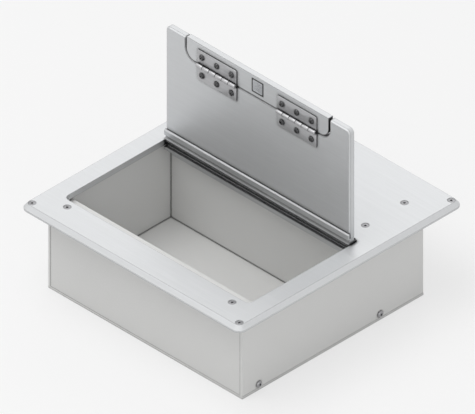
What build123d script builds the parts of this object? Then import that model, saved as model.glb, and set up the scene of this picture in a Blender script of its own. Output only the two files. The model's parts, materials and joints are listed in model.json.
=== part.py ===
from build123d import *

import os
from math import asin, atan, cos, degrees, radians, sin, sqrt

os.makedirs("parts", exist_ok=True)

# A floor socket box, in millimetres. X runs along the lid's hinge, +Y to the back where the hinge is, +Z up.
# Height 0 is the finished floor, on which the frame plate lies. X = Y = 0 is the middle of the frame plate.
# The lid is modelled standing open at a right angle, with its flap in line.

# Frame plate
frame_width = 368.0
frame_depth = 376.0
frame_thickness = 8.0
frame_corner_radius = 11.5
frame_bevel_width = 5.0
frame_bevel_height = 6.0

# Opening in the frame plate, inside the walls of the box
opening_inset = 8.0
opening_front = 143.0
opening_corner_radius = 7.0
lid_gap = 0.5

# Lid and the flap in its free edge
lid_seat_gap = 0.3
lid_corner_radius = 6.5
lid_edge_chamfer = 2.0
flap_width = 237.2
flap_height = 29.5
flap_corner_radius = 13.0
flap_gap = 1.4
flap_overhang = 1.5
notch_mouth_radius = 2.5

# Magnet pad in the flap
pad_side = 18.5
pad_depth = 3.0
pad_proud = 0.2
pad_from_edge = 14.5
pad_clearance = 0.4

# Geared hinge of the lid: two toothed leaves rolling on each other, held together by a cap
hinge_y = 31.2
lid_back_offset = 3.1
gear_radius = 5.0
gear_teeth = 20
gear_addendum = 0.5
gear_dedendum = 0.6
tooth_root_angle = 5.2
tooth_tip_angle = 1.7
leaf_thickness = 2.5
lid_leaf_start = 8.0
lid_leaf_height = 8.2
lid_leaf_bevel = 1.5
lid_foot_top = 9.2
lid_screw_drop = 3.2
lid_foot_inset = 0.3
frame_leaf_lip_top = 1.2
frame_leaf_lip_height = 4.2
frame_leaf_leg = 11.0
cap_gap = 0.3
cap_thickness = 1.6
cap_end_angle = 35.0
cap_swing = 45.0
bead_radius = 2.5
bead_clearance = 0.1
slot_margin = 3.0
lower_smooth_start = 168.0
upper_smooth_end = 176.0
lid_leaf_floor = 0.4

# Butt hinges of the flap
butt_spacing = 134.0
butt_width = 65.0
butt_leaf_height = 21.75
butt_leaf_thickness = 1.5
knuckle_count = 6
knuckle_radius = 2.7
knuckle_gap = 0.2
knuckle_standoff = 0.05
knuckle_root = 0.3
butt_pin_radius = 1.5
butt_pin_clearance = 0.05
butt_screw_pitch = 24.8
butt_screw_offset = 13.0

# Box under the frame plate
box_width = 325.0
box_front = 161.5
box_rear = 142.0
box_height = 117.6
side_thickness = 4.0
base_thickness = 4.0
sheet = 2.5
ledge_reach = 17.7
ledge_drop = 3.7
flange = 15.0
flange_relief = 1.0
divider_gap = 1.4
divider_top_flange = 42.0
buffer_length = 20.0
buffer_depth = 5.0
buffer_from_side = 18.0
buffer_setback = 2.5
buffer_gap = 0.1
buffer_rounding = 0.8
rear_top_flange = 32.0

# Screws that hold the box together
floor_screw_inset = 10.5
floor_screw_length = 14.0
frame_screw_from_side = 20.5
frame_screw_inset = 7.5
frame_screw_length = 16.0
divider_screw_setback = 29.0
block_width = 12.0
block_length = 34.0
block_height = 12.0
side_screw_front = 134.0
side_screw_rear = 69.0
side_screw_height = 5.4
side_screw_length = 12.0
base_screw_length = 9.0
base_screw_pitch = 100.0
block_screw_offset = 10.0
leaf_screw_from_end = 14.0
leaf_screw_count = 6

# Fastener sizes: M5 and M4 countersunk, M5 and M4 domed
m5_radius = 2.5
m5_head_radius = 4.9
m4_radius = 2.0
m4_head_radius = 3.7
m5_dome_radius = 4.4
m5_dome_height = 2.6
m4_dome_radius = 4.0
m4_dome_height = 2.2
m5_socket = 3.0
m4_socket = 2.5
hole_clearance = 0.1
neck_cut = 0.25
blind_floor = 1.5
nut_height = 4.0
nut_across_flats = 8.0
leaf_nut_height = 3.2
leaf_nut_across_flats = 7.0

# Shape of a screw's head, as parts of its own sizes
flat_socket_depth = 0.8
dome_socket_depth = 0.6
dome_flat = 0.65
dome_rim = 0.15
dome_bulge_out = 0.68
dome_bulge_up = 0.72

# Socket panel and its modules
panel_thickness = 2.0
panel_setback = 40.5
panel_height = 75.6
panel_end_gap = 0.5
panel_foot = 16.0
panel_screw_setback = 5.0
module_side = 45.0
module_count = 4
module_gap = 0.5
bezel_thickness = 3.0
bezel_corner_radius = 2.0
module_body_side = 40.6
module_body_clearance = 0.2
module_body_depth = 26.0
recess_radius = 19.0
recess_depth = 17.0
pin_spacing = 19.0
pin_hole_radius = 2.6
contact_radius = 3.2
contact_wall = 0.6
contact_length = 12.0
pin_wall = 2.0
clip_width = 5.0
clip_thickness = 0.8
clip_length = 13.0

# Wiring compartment behind the divider
entry_radius = 12.75
entry_spacing = 90.0
entry_height = 52.0
plug_rim = 2.5
plug_thickness = 2.0
plug_skirt = 5.0
grommet_hole_radius = 14.0
grommet_bore_radius = 11.0
grommet_rim = 2.5
grommet_rim_thickness = 2.0
terminal_y = 92.0
terminal_length = 88.0
terminal_depth = 24.0
terminal_height = 20.0
terminal_foot_height = 5.0
terminal_foot_depth = 36.0
terminal_pitch = 16.0
terminal_count = 5
terminal_wire_radius = 1.9
terminal_screw_radius = 2.5
terminal_screw_height = 8.0
terminal_screw_sink = 1.0
terminal_screw_lift = 0.5
terminal_slot_width = 0.8
terminal_slot_depth = 1.0
earth_x = 105.0
earth_radius = 3.0
earth_length = 24.0
earth_nut_flats = 10.0
earth_nut_height = 5.0
earth_wire_gap = 1.0
earth_chamfer = 0.8

# Places that follow from the sizes above
frame_top = frame_thickness
base_top = base_thickness - box_height
side_inner = box_width / 2 - side_thickness
panel_front = side_inner - panel_setback
front_inner = sheet - box_front
ledge_edge = ledge_reach - opening_front
cap_inner = gear_radius + gear_addendum + cap_gap
cap_outer = cap_inner + cap_thickness
opening_rear = hinge_y + cap_outer + lid_gap
divider_front = hinge_y + cap_outer + divider_gap
divider_back = divider_front + sheet

opening_width = box_width - 2 * opening_inset
lid_width = opening_width - 2 * lid_gap
lid_thickness = frame_thickness - lid_seat_gap
lid_back = hinge_y + lid_back_offset
lid_front = lid_back - lid_thickness
leaf_front = lid_front - leaf_thickness

# Shutting the lid is a quarter turn about this point, as half a turn of the cap and half of the lid
swing_y = hinge_y - (sqrt(2) - 1) * gear_radius
swing_z = frame_top - (lid_back - swing_y)
lower_axis = swing_z - gear_radius
upper_axis = swing_z + gear_radius
flap_edge = swing_z + swing_y + opening_front - lid_gap
lid_edge = flap_edge - flap_overhang
lid_foot = upper_axis + lid_foot_top
butt_y = lid_front - knuckle_radius - knuckle_standoff
butt_z = flap_edge - flap_height
notch_edge = butt_z - flap_gap / 2
flap_foot = butt_z + flap_gap / 2


def countersunk_screw(radius, head_radius, length, socket, neck=()):
    """A countersunk screw with its flat head's top at height 0, pointing down, with a hexagon socket.

    neck is the radius and lower end of a slimmer stretch under the head, where there is one.
    """
    head_depth = head_radius - radius
    under_head = [(radius, -head_depth)]
    if neck:
        neck_radius, neck_end = neck
        under_head = [(neck_radius, neck_radius - head_radius), (neck_radius, -neck_end), (radius, -neck_end)]
    with BuildPart() as screw:
        with BuildSketch(Plane.XZ):
            with BuildLine():
                Polyline(
                    (0, 0),
                    (head_radius, 0),
                    *under_head,
                    (radius, -length + radius / 3),
                    (radius * 2 / 3, -length),
                    (0, -length),
                    close=True,
                )
            make_face()
        revolve(axis=Axis.Z)
        with BuildSketch():
            RegularPolygon(socket / 2, 6, major_radius=False)
        extrude(amount=-head_depth * flat_socket_depth, mode=Mode.SUBTRACT)
    return screw.part


def domed_screw(radius, dome_radius, dome_height, length, socket):
    """A domed screw whose head stands on height 0, with its shank pointing down and a hexagon socket."""
    flat = socket * dome_flat
    rim = dome_height * dome_rim
    bulge = (flat + (dome_radius - flat) * dome_bulge_out, dome_height * dome_bulge_up)
    with BuildPart() as screw:
        with BuildSketch(Plane.XZ):
            with BuildLine():
                ThreePointArc((flat, dome_height), bulge, (dome_radius, rim))
                Polyline(
                    (dome_radius, rim),
                    (dome_radius, 0),
                    (radius, 0),
                    (radius, -length),
                    (0, -length),
                    (0, dome_height),
                    (flat, dome_height),
                )
            make_face()
        revolve(axis=Axis.Z)
        with BuildSketch(Plane.XY.offset(dome_height)):
            RegularPolygon(socket / 2, 6, major_radius=False)
        extrude(amount=-dome_height * dome_socket_depth, mode=Mode.SUBTRACT)
    return screw.part


def hexagon_nut(across_flats, height, bore_radius):
    """A nut lying on height 0 with its hole along Z."""
    with BuildPart() as nut:
        with BuildSketch():
            RegularPolygon(across_flats / 2, 6, major_radius=False)
            Circle(bore_radius, mode=Mode.SUBTRACT)
        extrude(amount=height)
    return nut.part


def sector(radius, start, end):
    """A pie slice about the origin from one angle to another, in degrees."""
    with BuildSketch() as slice_sketch:
        with BuildLine():
            arc = CenterArc((0, 0), radius, start, end - start)
            Polyline(arc @ 1, (0, 0), arc @ 0)
        make_face()
    return slice_sketch.sketch


# Frame plate
corner_screw_x = frame_width / 2 - floor_screw_inset
corner_screw_y = frame_depth / 2 - floor_screw_inset
front_screw_y = frame_screw_inset - box_front
middle_screw_y = divider_front + divider_screw_setback
rear_screw_y = box_rear - frame_screw_inset
frame_screw_x = side_inner - frame_screw_from_side
floor_screw_places = [(x, y) for x in (-corner_screw_x, corner_screw_x) for y in (-corner_screw_y, corner_screw_y)]
frame_screw_places = [
    (x, y) for x in (-frame_screw_x, frame_screw_x) for y in (front_screw_y, middle_screw_y, rear_screw_y)
]

with BuildPart() as frame_plate:
    with BuildSketch():
        RectangleRounded(frame_width, frame_depth, frame_corner_radius)
    extrude(amount=frame_thickness - frame_bevel_height)
    extrude(
        frame_plate.faces().sort_by(Axis.Z)[-1],
        amount=frame_bevel_height,
        taper=degrees(atan(frame_bevel_width / frame_bevel_height)),
    )
    with BuildSketch():
        with Locations((0, (opening_rear - opening_front) / 2)):
            Rectangle(opening_width, opening_rear + opening_front)
    extrude(amount=frame_thickness, mode=Mode.SUBTRACT)
    front_corners = (
        frame_plate.edges()
        .filter_by(Axis.Z)
        .filter_by_position(Axis.Y, -opening_front - 1, -opening_front + 1)
    )
    fillet(front_corners, opening_corner_radius)
    with Locations(*[(x, y, frame_top) for x, y in floor_screw_places + frame_screw_places]):
        CounterSinkHole(
            m5_radius + hole_clearance,
            m5_head_radius + hole_clearance,
            counter_sink_angle=90,
        )
frame_plate.part.label = "frame_plate"
export_step(frame_plate.part, "parts/frame_plate.step")

floor_screw = countersunk_screw(
    m5_radius, m5_head_radius, floor_screw_length, m5_socket, neck=(m5_radius - neck_cut, frame_thickness)
)
with BuildPart() as floor_screws:
    with Locations(*[(x, y, frame_top) for x, y in floor_screw_places]):
        add(floor_screw)
floor_screws.part.label = "floor_screws"
export_step(floor_screws.part, "parts/floor_screws.step")

frame_screw = countersunk_screw(m5_radius, m5_head_radius, frame_screw_length, m5_socket)
with BuildPart() as frame_screws:
    with Locations(*[(x, y, frame_top) for x, y in frame_screw_places]):
        add(frame_screw)
frame_screws.part.label = "frame_screws"
export_step(frame_screws.part, "parts/frame_screws.step")

frame_nut = hexagon_nut(nut_across_flats, nut_height, m5_radius + hole_clearance)
with BuildPart() as frame_screw_nuts:
    with Locations(*[(x, y, -sheet - nut_height) for x, y in frame_screw_places]):
        add(frame_nut)
frame_screw_nuts.part.label = "frame_screw_nuts"
export_step(frame_screw_nuts.part, "parts/frame_screw_nuts.step")

# Panels between the side plates: each is a wall with flanges at the top, sides and bottom, turned to one side.
# The lower corners are left free for the corner blocks.
panel_width = 2 * side_inner
wall_height = -base_top
wall_middle = base_top / 2
base_screw_xs = (-base_screw_pitch, 0, base_screw_pitch)
rear_inner = box_rear - sheet
front_base_screw_y = front_inner + flange / 2
rear_base_screw_y = rear_inner - flange / 2
divider_base_screw_y = divider_back + flange / 2
corner_width = block_width + flange_relief
corner_height = block_height + flange_relief


def flanged_panel(flange_root, turn, top_reach, frame_screw_y, base_screw_y):
    """A sheet panel whose flanges start at flange_root: turn is 1 where they point to +Y and -1 to -Y."""
    inward = Align.MIN if turn == 1 else Align.MAX
    outward = Align.MAX if turn == 1 else Align.MIN
    with BuildPart() as panel:
        with Locations((0, flange_root, 0)):
            Box(panel_width, sheet, wall_height, align=(Align.CENTER, outward, Align.MAX))
            Box(panel_width, top_reach, sheet, align=(Align.CENTER, inward, Align.MAX))
        with Locations((0, flange_root, base_top)):
            Box(panel_width - 2 * corner_width, flange, sheet, align=(Align.CENTER, inward, Align.MIN))
        for side_x, side_align in ((-side_inner, Align.MIN), (side_inner, Align.MAX)):
            with Locations((side_x, flange_root, 0)):
                Box(sheet, flange, wall_height - corner_height, align=(side_align, inward, Align.MAX))
        with Locations(*[(x, frame_screw_y, 0) for x in (-frame_screw_x, frame_screw_x)]):
            Hole(m5_radius + hole_clearance, depth=sheet)
        with Locations(*[(x, base_screw_y, base_top + sheet) for x in base_screw_xs]):
            Hole(m5_radius + hole_clearance, depth=sheet)
    return panel.part


# Front panel: its top flange steps down to a ledge that clears the flap's hinges when the lid is shut
ledge_root = -opening_front - sheet
with BuildPart() as front_panel:
    add(flanged_panel(front_inner, 1, -opening_front - front_inner, front_screw_y, front_base_screw_y))
    with Locations((0, ledge_root, 0)):
        Box(panel_width, sheet, ledge_drop + sheet, align=(Align.CENTER, Align.MIN, Align.MAX))
    with Locations((0, ledge_root, -ledge_drop)):
        Box(panel_width, ledge_edge - ledge_root, sheet, align=(Align.CENTER, Align.MIN, Align.MAX))
front_panel.part.label = "front_panel"
export_step(front_panel.part, "parts/front_panel.step")

# Rubber buffers on the ledge, under the shut lid's front corners
buffer_x = lid_width / 2 - buffer_from_side
buffer_y = buffer_setback - opening_front
buffer_height = ledge_drop + lid_seat_gap - buffer_gap
with BuildPart() as lid_buffers:
    with Locations(*[(x, buffer_y, -ledge_drop) for x in (-buffer_x, buffer_x)]):
        Box(buffer_length, buffer_depth, buffer_height, align=(Align.CENTER, Align.MIN, Align.MIN))
    fillet(lid_buffers.faces().filter_by(Axis.Z).group_by(Axis.Z)[-1].edges(), buffer_rounding)
lid_buffers.part.label = "lid_buffers"
export_step(lid_buffers.part, "parts/lid_buffers.step")

# Rear panel, with the conduit entries
entry_z = base_top + entry_height
entry_xs = (-entry_spacing, 0, entry_spacing)

with BuildPart() as rear_panel:
    add(flanged_panel(rear_inner, -1, rear_top_flange - sheet, rear_screw_y, rear_base_screw_y))
    with BuildSketch(Plane.XZ.offset(-rear_inner)):
        with Locations(*[(x, entry_z) for x in entry_xs]):
            Circle(entry_radius)
    extrude(amount=-sheet, mode=Mode.SUBTRACT)
rear_panel.part.label = "rear_panel"
export_step(rear_panel.part, "parts/rear_panel.step")

# Divider between the main compartment and the wiring compartment
leg_screw_z = lower_axis - gear_radius - leaf_thickness - frame_leaf_leg / 2
leaf_screw_pitch = (lid_width - 2 * leaf_screw_from_end) / (leaf_screw_count - 1)
leaf_screw_xs = [(index - (leaf_screw_count - 1) / 2) * leaf_screw_pitch for index in range(leaf_screw_count)]
grommet_x = (panel_front + side_inner) / 2
grommet_z = base_top + panel_height / 2

with BuildPart() as divider_panel:
    add(flanged_panel(divider_back, 1, divider_top_flange - sheet, middle_screw_y, divider_base_screw_y))
    with BuildSketch(Plane.XZ.offset(-divider_front)):
        with Locations(*[(x, leg_screw_z) for x in leaf_screw_xs]):
            Circle(m4_radius + hole_clearance)
        with Locations((grommet_x, grommet_z)):
            Circle(grommet_hole_radius)
    extrude(amount=-sheet, mode=Mode.SUBTRACT)
divider_panel.part.label = "divider_panel"
export_step(divider_panel.part, "parts/divider_panel.step")

# Side plates, standing on the base plate outside the front and rear panels
side_screw_z = base_top + side_screw_height
side_screw_ys = (-side_screw_front, side_screw_rear)
box_depth = box_front + box_rear
box_middle = (box_rear - box_front) / 2

for side, sign in (("left", -1), ("right", 1)):
    with BuildPart() as side_plate:
        with BuildSketch(Plane.YZ.offset(sign * (side_inner + side_thickness / 2))):
            with Locations((box_middle, wall_middle)):
                Rectangle(box_depth, wall_height)
            with Locations(*[(y, side_screw_z) for y in side_screw_ys]):
                Circle(m5_radius + hole_clearance, mode=Mode.SUBTRACT)
        extrude(amount=side_thickness / 2, both=True)
    side_plate.part.label = f"{side}_side_plate"
    export_step(side_plate.part, f"parts/{side}_side_plate.step")

# Base plate and the blocks in its corners that the side and base screws go into
block_x = side_inner - block_width / 2
block_places = [(x, y) for x in (-block_x, block_x) for y in side_screw_ys]
base_screw_places = [(x, y + block_screw_offset) for x, y in block_places]
base_screw_places += [
    (x, y) for x in base_screw_xs for y in (front_base_screw_y, rear_base_screw_y, divider_base_screw_y)
]

with BuildPart() as base_plate:
    with Locations((0, box_middle, -box_height)):
        Box(box_width, box_depth, base_thickness, align=(Align.CENTER, Align.CENTER, Align.MIN))
    with Locations(*[Location((x, y, -box_height), (180, 0, 0)) for x, y in base_screw_places]):
        CounterSinkHole(
            m5_radius + hole_clearance,
            m5_head_radius + hole_clearance,
            counter_sink_angle=90,
        )
base_plate.part.label = "base_plate"
export_step(base_plate.part, "parts/base_plate.step")

with BuildPart() as corner_blocks:
    with Locations(*[(x, y, base_top) for x, y in block_places]):
        Box(block_width, block_length, block_height, align=(Align.CENTER, Align.CENTER, Align.MIN))
    with BuildSketch(Plane.YZ.offset(-box_width / 2)):
        with Locations(*[(y, side_screw_z) for y in side_screw_ys]):
            Circle(m5_radius + hole_clearance)
    extrude(amount=box_width, mode=Mode.SUBTRACT)
    with Locations(*[(x, y + block_screw_offset, base_top + block_height) for x, y in block_places]):
        Hole(m5_radius + hole_clearance, depth=block_height)
corner_blocks.part.label = "corner_blocks"
export_step(corner_blocks.part, "parts/corner_blocks.step")

side_screw = domed_screw(m5_radius, m5_dome_radius, m5_dome_height, side_screw_length, m5_socket)
with BuildPart() as side_screws:
    for sign in (-1, 1):
        with Locations(
            *[Location((sign * box_width / 2, y, side_screw_z), (0, sign * 90, 0)) for y in side_screw_ys]
        ):
            add(side_screw)
side_screws.part.label = "side_screws"
export_step(side_screws.part, "parts/side_screws.step")

base_screw = countersunk_screw(m5_radius, m5_head_radius, base_screw_length, m5_socket)
with BuildPart() as base_screws:
    with Locations(*[Location((x, y, -box_height), (180, 0, 0)) for x, y in base_screw_places]):
        add(base_screw)
base_screws.part.label = "base_screws"
export_step(base_screws.part, "parts/base_screws.step")

# Geared hinge: teeth stand on both barrels where they meet at any angle of the lid
tooth_pitch = 360 / gear_teeth
root_radius = gear_radius - gear_dedendum
tip_radius = gear_radius + gear_addendum
bore_radius = bead_radius + bead_clearance
web_angle = cap_end_angle - degrees(asin(cap_thickness / 2 / cap_outer))
slot_half = degrees(asin(cap_thickness / 2 / bore_radius)) + slot_margin
lower_slot = (-web_angle - slot_half, -web_angle + cap_swing + slot_half)
upper_slot = (web_angle - cap_swing - slot_half, web_angle + slot_half)


def around(radius, angle):
    """The point at a radius and an angle in degrees from the origin."""
    return (radius * cos(radians(angle)), radius * sin(radians(angle)))


def geared_barrel(tooth_angles, smooth, slot):
    """A barrel's section about its axis: root circle, teeth, a smooth stretch, the bore and the cap's slot."""
    with BuildSketch() as section:
        Circle(root_radius)
        add(sector(tip_radius, *smooth))
        for angle in tooth_angles:
            with BuildLine():
                Polyline(
                    around(bore_radius, angle - tooth_root_angle),
                    around(root_radius, angle - tooth_root_angle),
                    around(tip_radius, angle - tooth_tip_angle),
                    around(tip_radius, angle + tooth_tip_angle),
                    around(root_radius, angle + tooth_root_angle),
                    around(bore_radius, angle + tooth_root_angle),
                    close=True,
                )
            make_face()
        Circle(bore_radius, mode=Mode.SUBTRACT)
        add(sector(tip_radius + cap_gap / 2, *slot), mode=Mode.SUBTRACT)
    return section.sketch


# The lower barrel has a tooth straight up, and the upper barrel a space straight down
lower_teeth = [90 + tooth_pitch * step for step in range(-1, 5)]
upper_teeth = [-90 + tooth_pitch * (0.5 - step) for step in range(6)]
lower_section = geared_barrel(lower_teeth, (lower_smooth_start, 360 + lower_slot[0]), lower_slot)
upper_section = geared_barrel(upper_teeth, (upper_slot[1], upper_smooth_end), upper_slot)

leg_front = divider_front - leaf_thickness
web_top = lower_axis - gear_radius
web_bottom = web_top - leaf_thickness
leg_bottom = web_bottom - frame_leaf_leg
lip_top = lower_axis + frame_leaf_lip_top
lip_bottom = lip_top - frame_leaf_lip_height

with BuildPart() as hinge_frame_leaf:
    with BuildSketch(Plane.YZ):
        with Locations((leaf_front, lip_bottom)):
            Rectangle(hinge_y - leaf_front, frame_leaf_lip_height, align=(Align.MIN, Align.MIN))
        with Locations((hinge_y - bore_radius, web_bottom)):
            Rectangle(divider_front - hinge_y + bore_radius, leaf_thickness, align=(Align.MIN, Align.MIN))
        with Locations((hinge_y, web_bottom)):
            Rectangle(2 * bore_radius, lower_axis - web_bottom, align=(Align.CENTER, Align.MIN))
        with Locations((leg_front, leg_bottom)):
            Rectangle(leaf_thickness, web_top - leg_bottom, align=(Align.MIN, Align.MIN))
        with Locations((hinge_y, lower_axis)):
            Circle(tip_radius, mode=Mode.SUBTRACT)
            add(lower_section)
    extrude(amount=lid_width / 2, both=True)
    with Locations(*[Location((x, leg_front, leg_screw_z), (90, 0, 0)) for x in leaf_screw_xs]):
        CounterSinkHole(
            m4_radius + hole_clearance,
            m4_head_radius + hole_clearance,
            depth=leaf_thickness,
            counter_sink_angle=90,
        )
hinge_frame_leaf.part.label = "hinge_frame_leaf"
export_step(hinge_frame_leaf.part, "parts/hinge_frame_leaf.step")

frame_leaf_screw = countersunk_screw(m4_radius, m4_head_radius, leaf_thickness + sheet + nut_height, m4_socket)
with BuildPart() as hinge_frame_leaf_screws:
    with Locations(*[Location((x, leg_front, leg_screw_z), (90, 0, 0)) for x in leaf_screw_xs]):
        add(frame_leaf_screw)
hinge_frame_leaf_screws.part.label = "hinge_frame_leaf_screws"
export_step(hinge_frame_leaf_screws.part, "parts/hinge_frame_leaf_screws.step")

leaf_nut = hexagon_nut(leaf_nut_across_flats, leaf_nut_height, m4_radius + hole_clearance)
with BuildPart() as hinge_frame_leaf_nuts:
    with Locations(*[Location((x, divider_back, leg_screw_z), (-90, 0, 0)) for x in leaf_screw_xs]):
        add(leaf_nut)
hinge_frame_leaf_nuts.part.label = "hinge_frame_leaf_nuts"
export_step(hinge_frame_leaf_nuts.part, "parts/hinge_frame_leaf_nuts.step")

lid_leaf_bottom = upper_axis + lid_leaf_start
lid_leaf_top = lid_leaf_bottom + lid_leaf_height
leaf_screw_z = lid_leaf_top - lid_screw_drop
lid_screw_depth = lid_thickness + leaf_thickness - lid_leaf_floor

with BuildPart() as hinge_lid_leaf:
    with BuildSketch(Plane.YZ) as lid_leaf_profile:
        with BuildLine():
            Polyline(
                (leaf_front, lid_leaf_bottom),
                (leaf_front, lid_leaf_top - lid_leaf_bevel),
                (leaf_front + lid_leaf_bevel, lid_leaf_top),
                (lid_front, lid_leaf_top),
                (lid_front, lid_foot),
                (lid_back - lid_foot_inset, lid_foot),
                (lid_back - lid_foot_inset, upper_axis),
                (lid_front, upper_axis),
                (lid_front, lid_leaf_bottom),
                close=True,
            )
        make_face()
        with Locations((hinge_y, upper_axis)):
            Circle(tip_radius, mode=Mode.SUBTRACT)
            add(upper_section)
    extrude(amount=lid_width / 2, both=True)
    with Locations(*[Location((x, lid_front, leaf_screw_z), (-90, 0, 0)) for x in leaf_screw_xs]):
        Hole(m4_radius + hole_clearance, depth=leaf_thickness - lid_leaf_floor)
hinge_lid_leaf.part.label = "hinge_lid_leaf"
export_step(hinge_lid_leaf.part, "parts/hinge_lid_leaf.step")

lid_leaf_screw = countersunk_screw(m4_radius, m4_head_radius, lid_screw_depth, m4_socket)
with BuildPart() as hinge_lid_leaf_screws:
    with Locations(*[Location((x, lid_back, leaf_screw_z), (-90, 0, 0)) for x in leaf_screw_xs]):
        add(lid_leaf_screw)
hinge_lid_leaf_screws.part.label = "hinge_lid_leaf_screws"
export_step(hinge_lid_leaf_screws.part, "parts/hinge_lid_leaf_screws.step")

# Cap: a plate behind both barrels, curled round each and ending in a bead that turns in the barrel's bore
with BuildPart() as hinge_cap:
    with BuildSketch(Plane.YZ):
        with Locations((hinge_y + cap_inner, lower_axis)):
            Rectangle(cap_thickness, 2 * gear_radius, align=(Align.MIN, Align.MIN))
        for axis_z, start, end, lean in (
            (lower_axis, -cap_end_angle, 0, -web_angle),
            (upper_axis, 0, cap_end_angle, web_angle),
        ):
            with Locations((hinge_y, axis_z)):
                add(sector(cap_outer, start, end))
                Circle(cap_inner, mode=Mode.SUBTRACT)
            with Locations(Location((hinge_y, axis_z), lean)):
                Rectangle((cap_inner + cap_outer) / 2, cap_thickness, align=(Align.MIN, Align.CENTER))
            with Locations((hinge_y, axis_z)):
                Circle(bead_radius)
    extrude(amount=lid_width / 2, both=True)
hinge_cap.part.label = "hinge_cap"
export_step(hinge_cap.part, "parts/hinge_cap.step")

# Lid plate, with the notch that the flap fills
butt_xs = (-butt_spacing / 2, butt_spacing / 2)
butt_screw_xs = [x + butt_screw_pitch * step for x in butt_xs for step in (-1, 0, 1)]
butt_leaf_face = lid_front - butt_leaf_thickness
butt_hole_depth = lid_thickness - blind_floor
butt_screw_length = butt_leaf_thickness + butt_hole_depth - hole_clearance
notch_half = flap_width / 2 + flap_gap

with BuildPart() as lid_plate:
    with BuildSketch(Plane.XZ.offset(-lid_front)):
        with Locations((0, lid_foot)):
            Rectangle(lid_width, lid_edge - lid_foot, align=(Align.CENTER, Align.MIN))
        with Locations((0, notch_edge)):
            Rectangle(
                2 * notch_half,
                lid_edge - notch_edge,
                align=(Align.CENTER, Align.MIN),
                mode=Mode.SUBTRACT,
            )
    extrude(amount=-lid_thickness)
    upright = lid_plate.edges().filter_by(Axis.Y)
    fillet(upright.filter_by_position(Axis.Z, notch_edge - 0.1, notch_edge + 0.1), flap_corner_radius + flap_gap)
    rim = lid_plate.edges().filter_by(Axis.Y).filter_by_position(Axis.Z, lid_edge - 0.1, lid_edge + 0.1)
    fillet(rim.sort_by(Axis.X)[1:-1], notch_mouth_radius)
    rim = lid_plate.edges().filter_by(Axis.Y).filter_by_position(Axis.Z, lid_edge - 0.1, lid_edge + 0.1)
    fillet([rim.sort_by(Axis.X)[0], rim.sort_by(Axis.X)[-1]], lid_corner_radius)
    top_faces = lid_plate.faces().filter_by_position(Axis.Z, lid_edge - 0.1, lid_edge + 0.1)
    top_front = top_faces.edges().filter_by_position(Axis.Y, lid_front - 0.1, lid_front + 0.1)
    chamfer(top_front, lid_edge_chamfer)
    with Locations(*[Location((x, lid_back, leaf_screw_z), (-90, 0, 0)) for x in leaf_screw_xs]):
        CounterSinkHole(
            m4_radius + hole_clearance,
            m4_head_radius + hole_clearance,
            depth=lid_thickness,
            counter_sink_angle=90,
        )
    with Locations(*[Location((x, lid_front, butt_z - butt_screw_offset), (90, 0, 0)) for x in butt_screw_xs]):
        Hole(m4_radius + hole_clearance, depth=butt_hole_depth)
lid_plate.part.label = "lid_plate"
export_step(lid_plate.part, "parts/lid_plate.step")

# Flap plate and the magnet pad set into its underside
pad_z = flap_edge - pad_from_edge

with BuildPart() as flap_plate:
    with BuildSketch(Plane.XZ.offset(-lid_front)):
        with Locations((0, flap_foot)):
            Rectangle(flap_width, flap_edge - flap_foot, align=(Align.CENTER, Align.MIN))
    extrude(amount=-lid_thickness)
    lower_corners = (
        flap_plate.edges().filter_by(Axis.Y).filter_by_position(Axis.Z, flap_foot - 0.1, flap_foot + 0.1)
    )
    fillet(lower_corners, flap_corner_radius)
    with BuildSketch(Plane.XZ.offset(-lid_front)):
        with Locations((0, pad_z)):
            Rectangle(pad_side + 2 * pad_clearance, pad_side + 2 * pad_clearance)
    extrude(amount=-pad_depth, mode=Mode.SUBTRACT)
    with Locations(*[Location((x, lid_front, butt_z + butt_screw_offset), (90, 0, 0)) for x in butt_screw_xs]):
        Hole(m4_radius + hole_clearance, depth=butt_hole_depth)
flap_plate.part.label = "flap_plate"
export_step(flap_plate.part, "parts/flap_plate.step")

with BuildPart() as magnet_pad:
    with BuildSketch(Plane.XZ.offset(-lid_front - pad_depth)):
        with Locations((0, pad_z)):
            Rectangle(pad_side, pad_side)
    extrude(amount=pad_depth + pad_proud)
magnet_pad.part.label = "magnet_pad"
export_step(magnet_pad.part, "parts/magnet_pad.step")

# Butt hinges: six knuckles, the first from the left on the flap's leaf and then in turn
knuckle_length = butt_width / knuckle_count
plate_start = knuckle_radius + knuckle_root

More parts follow.
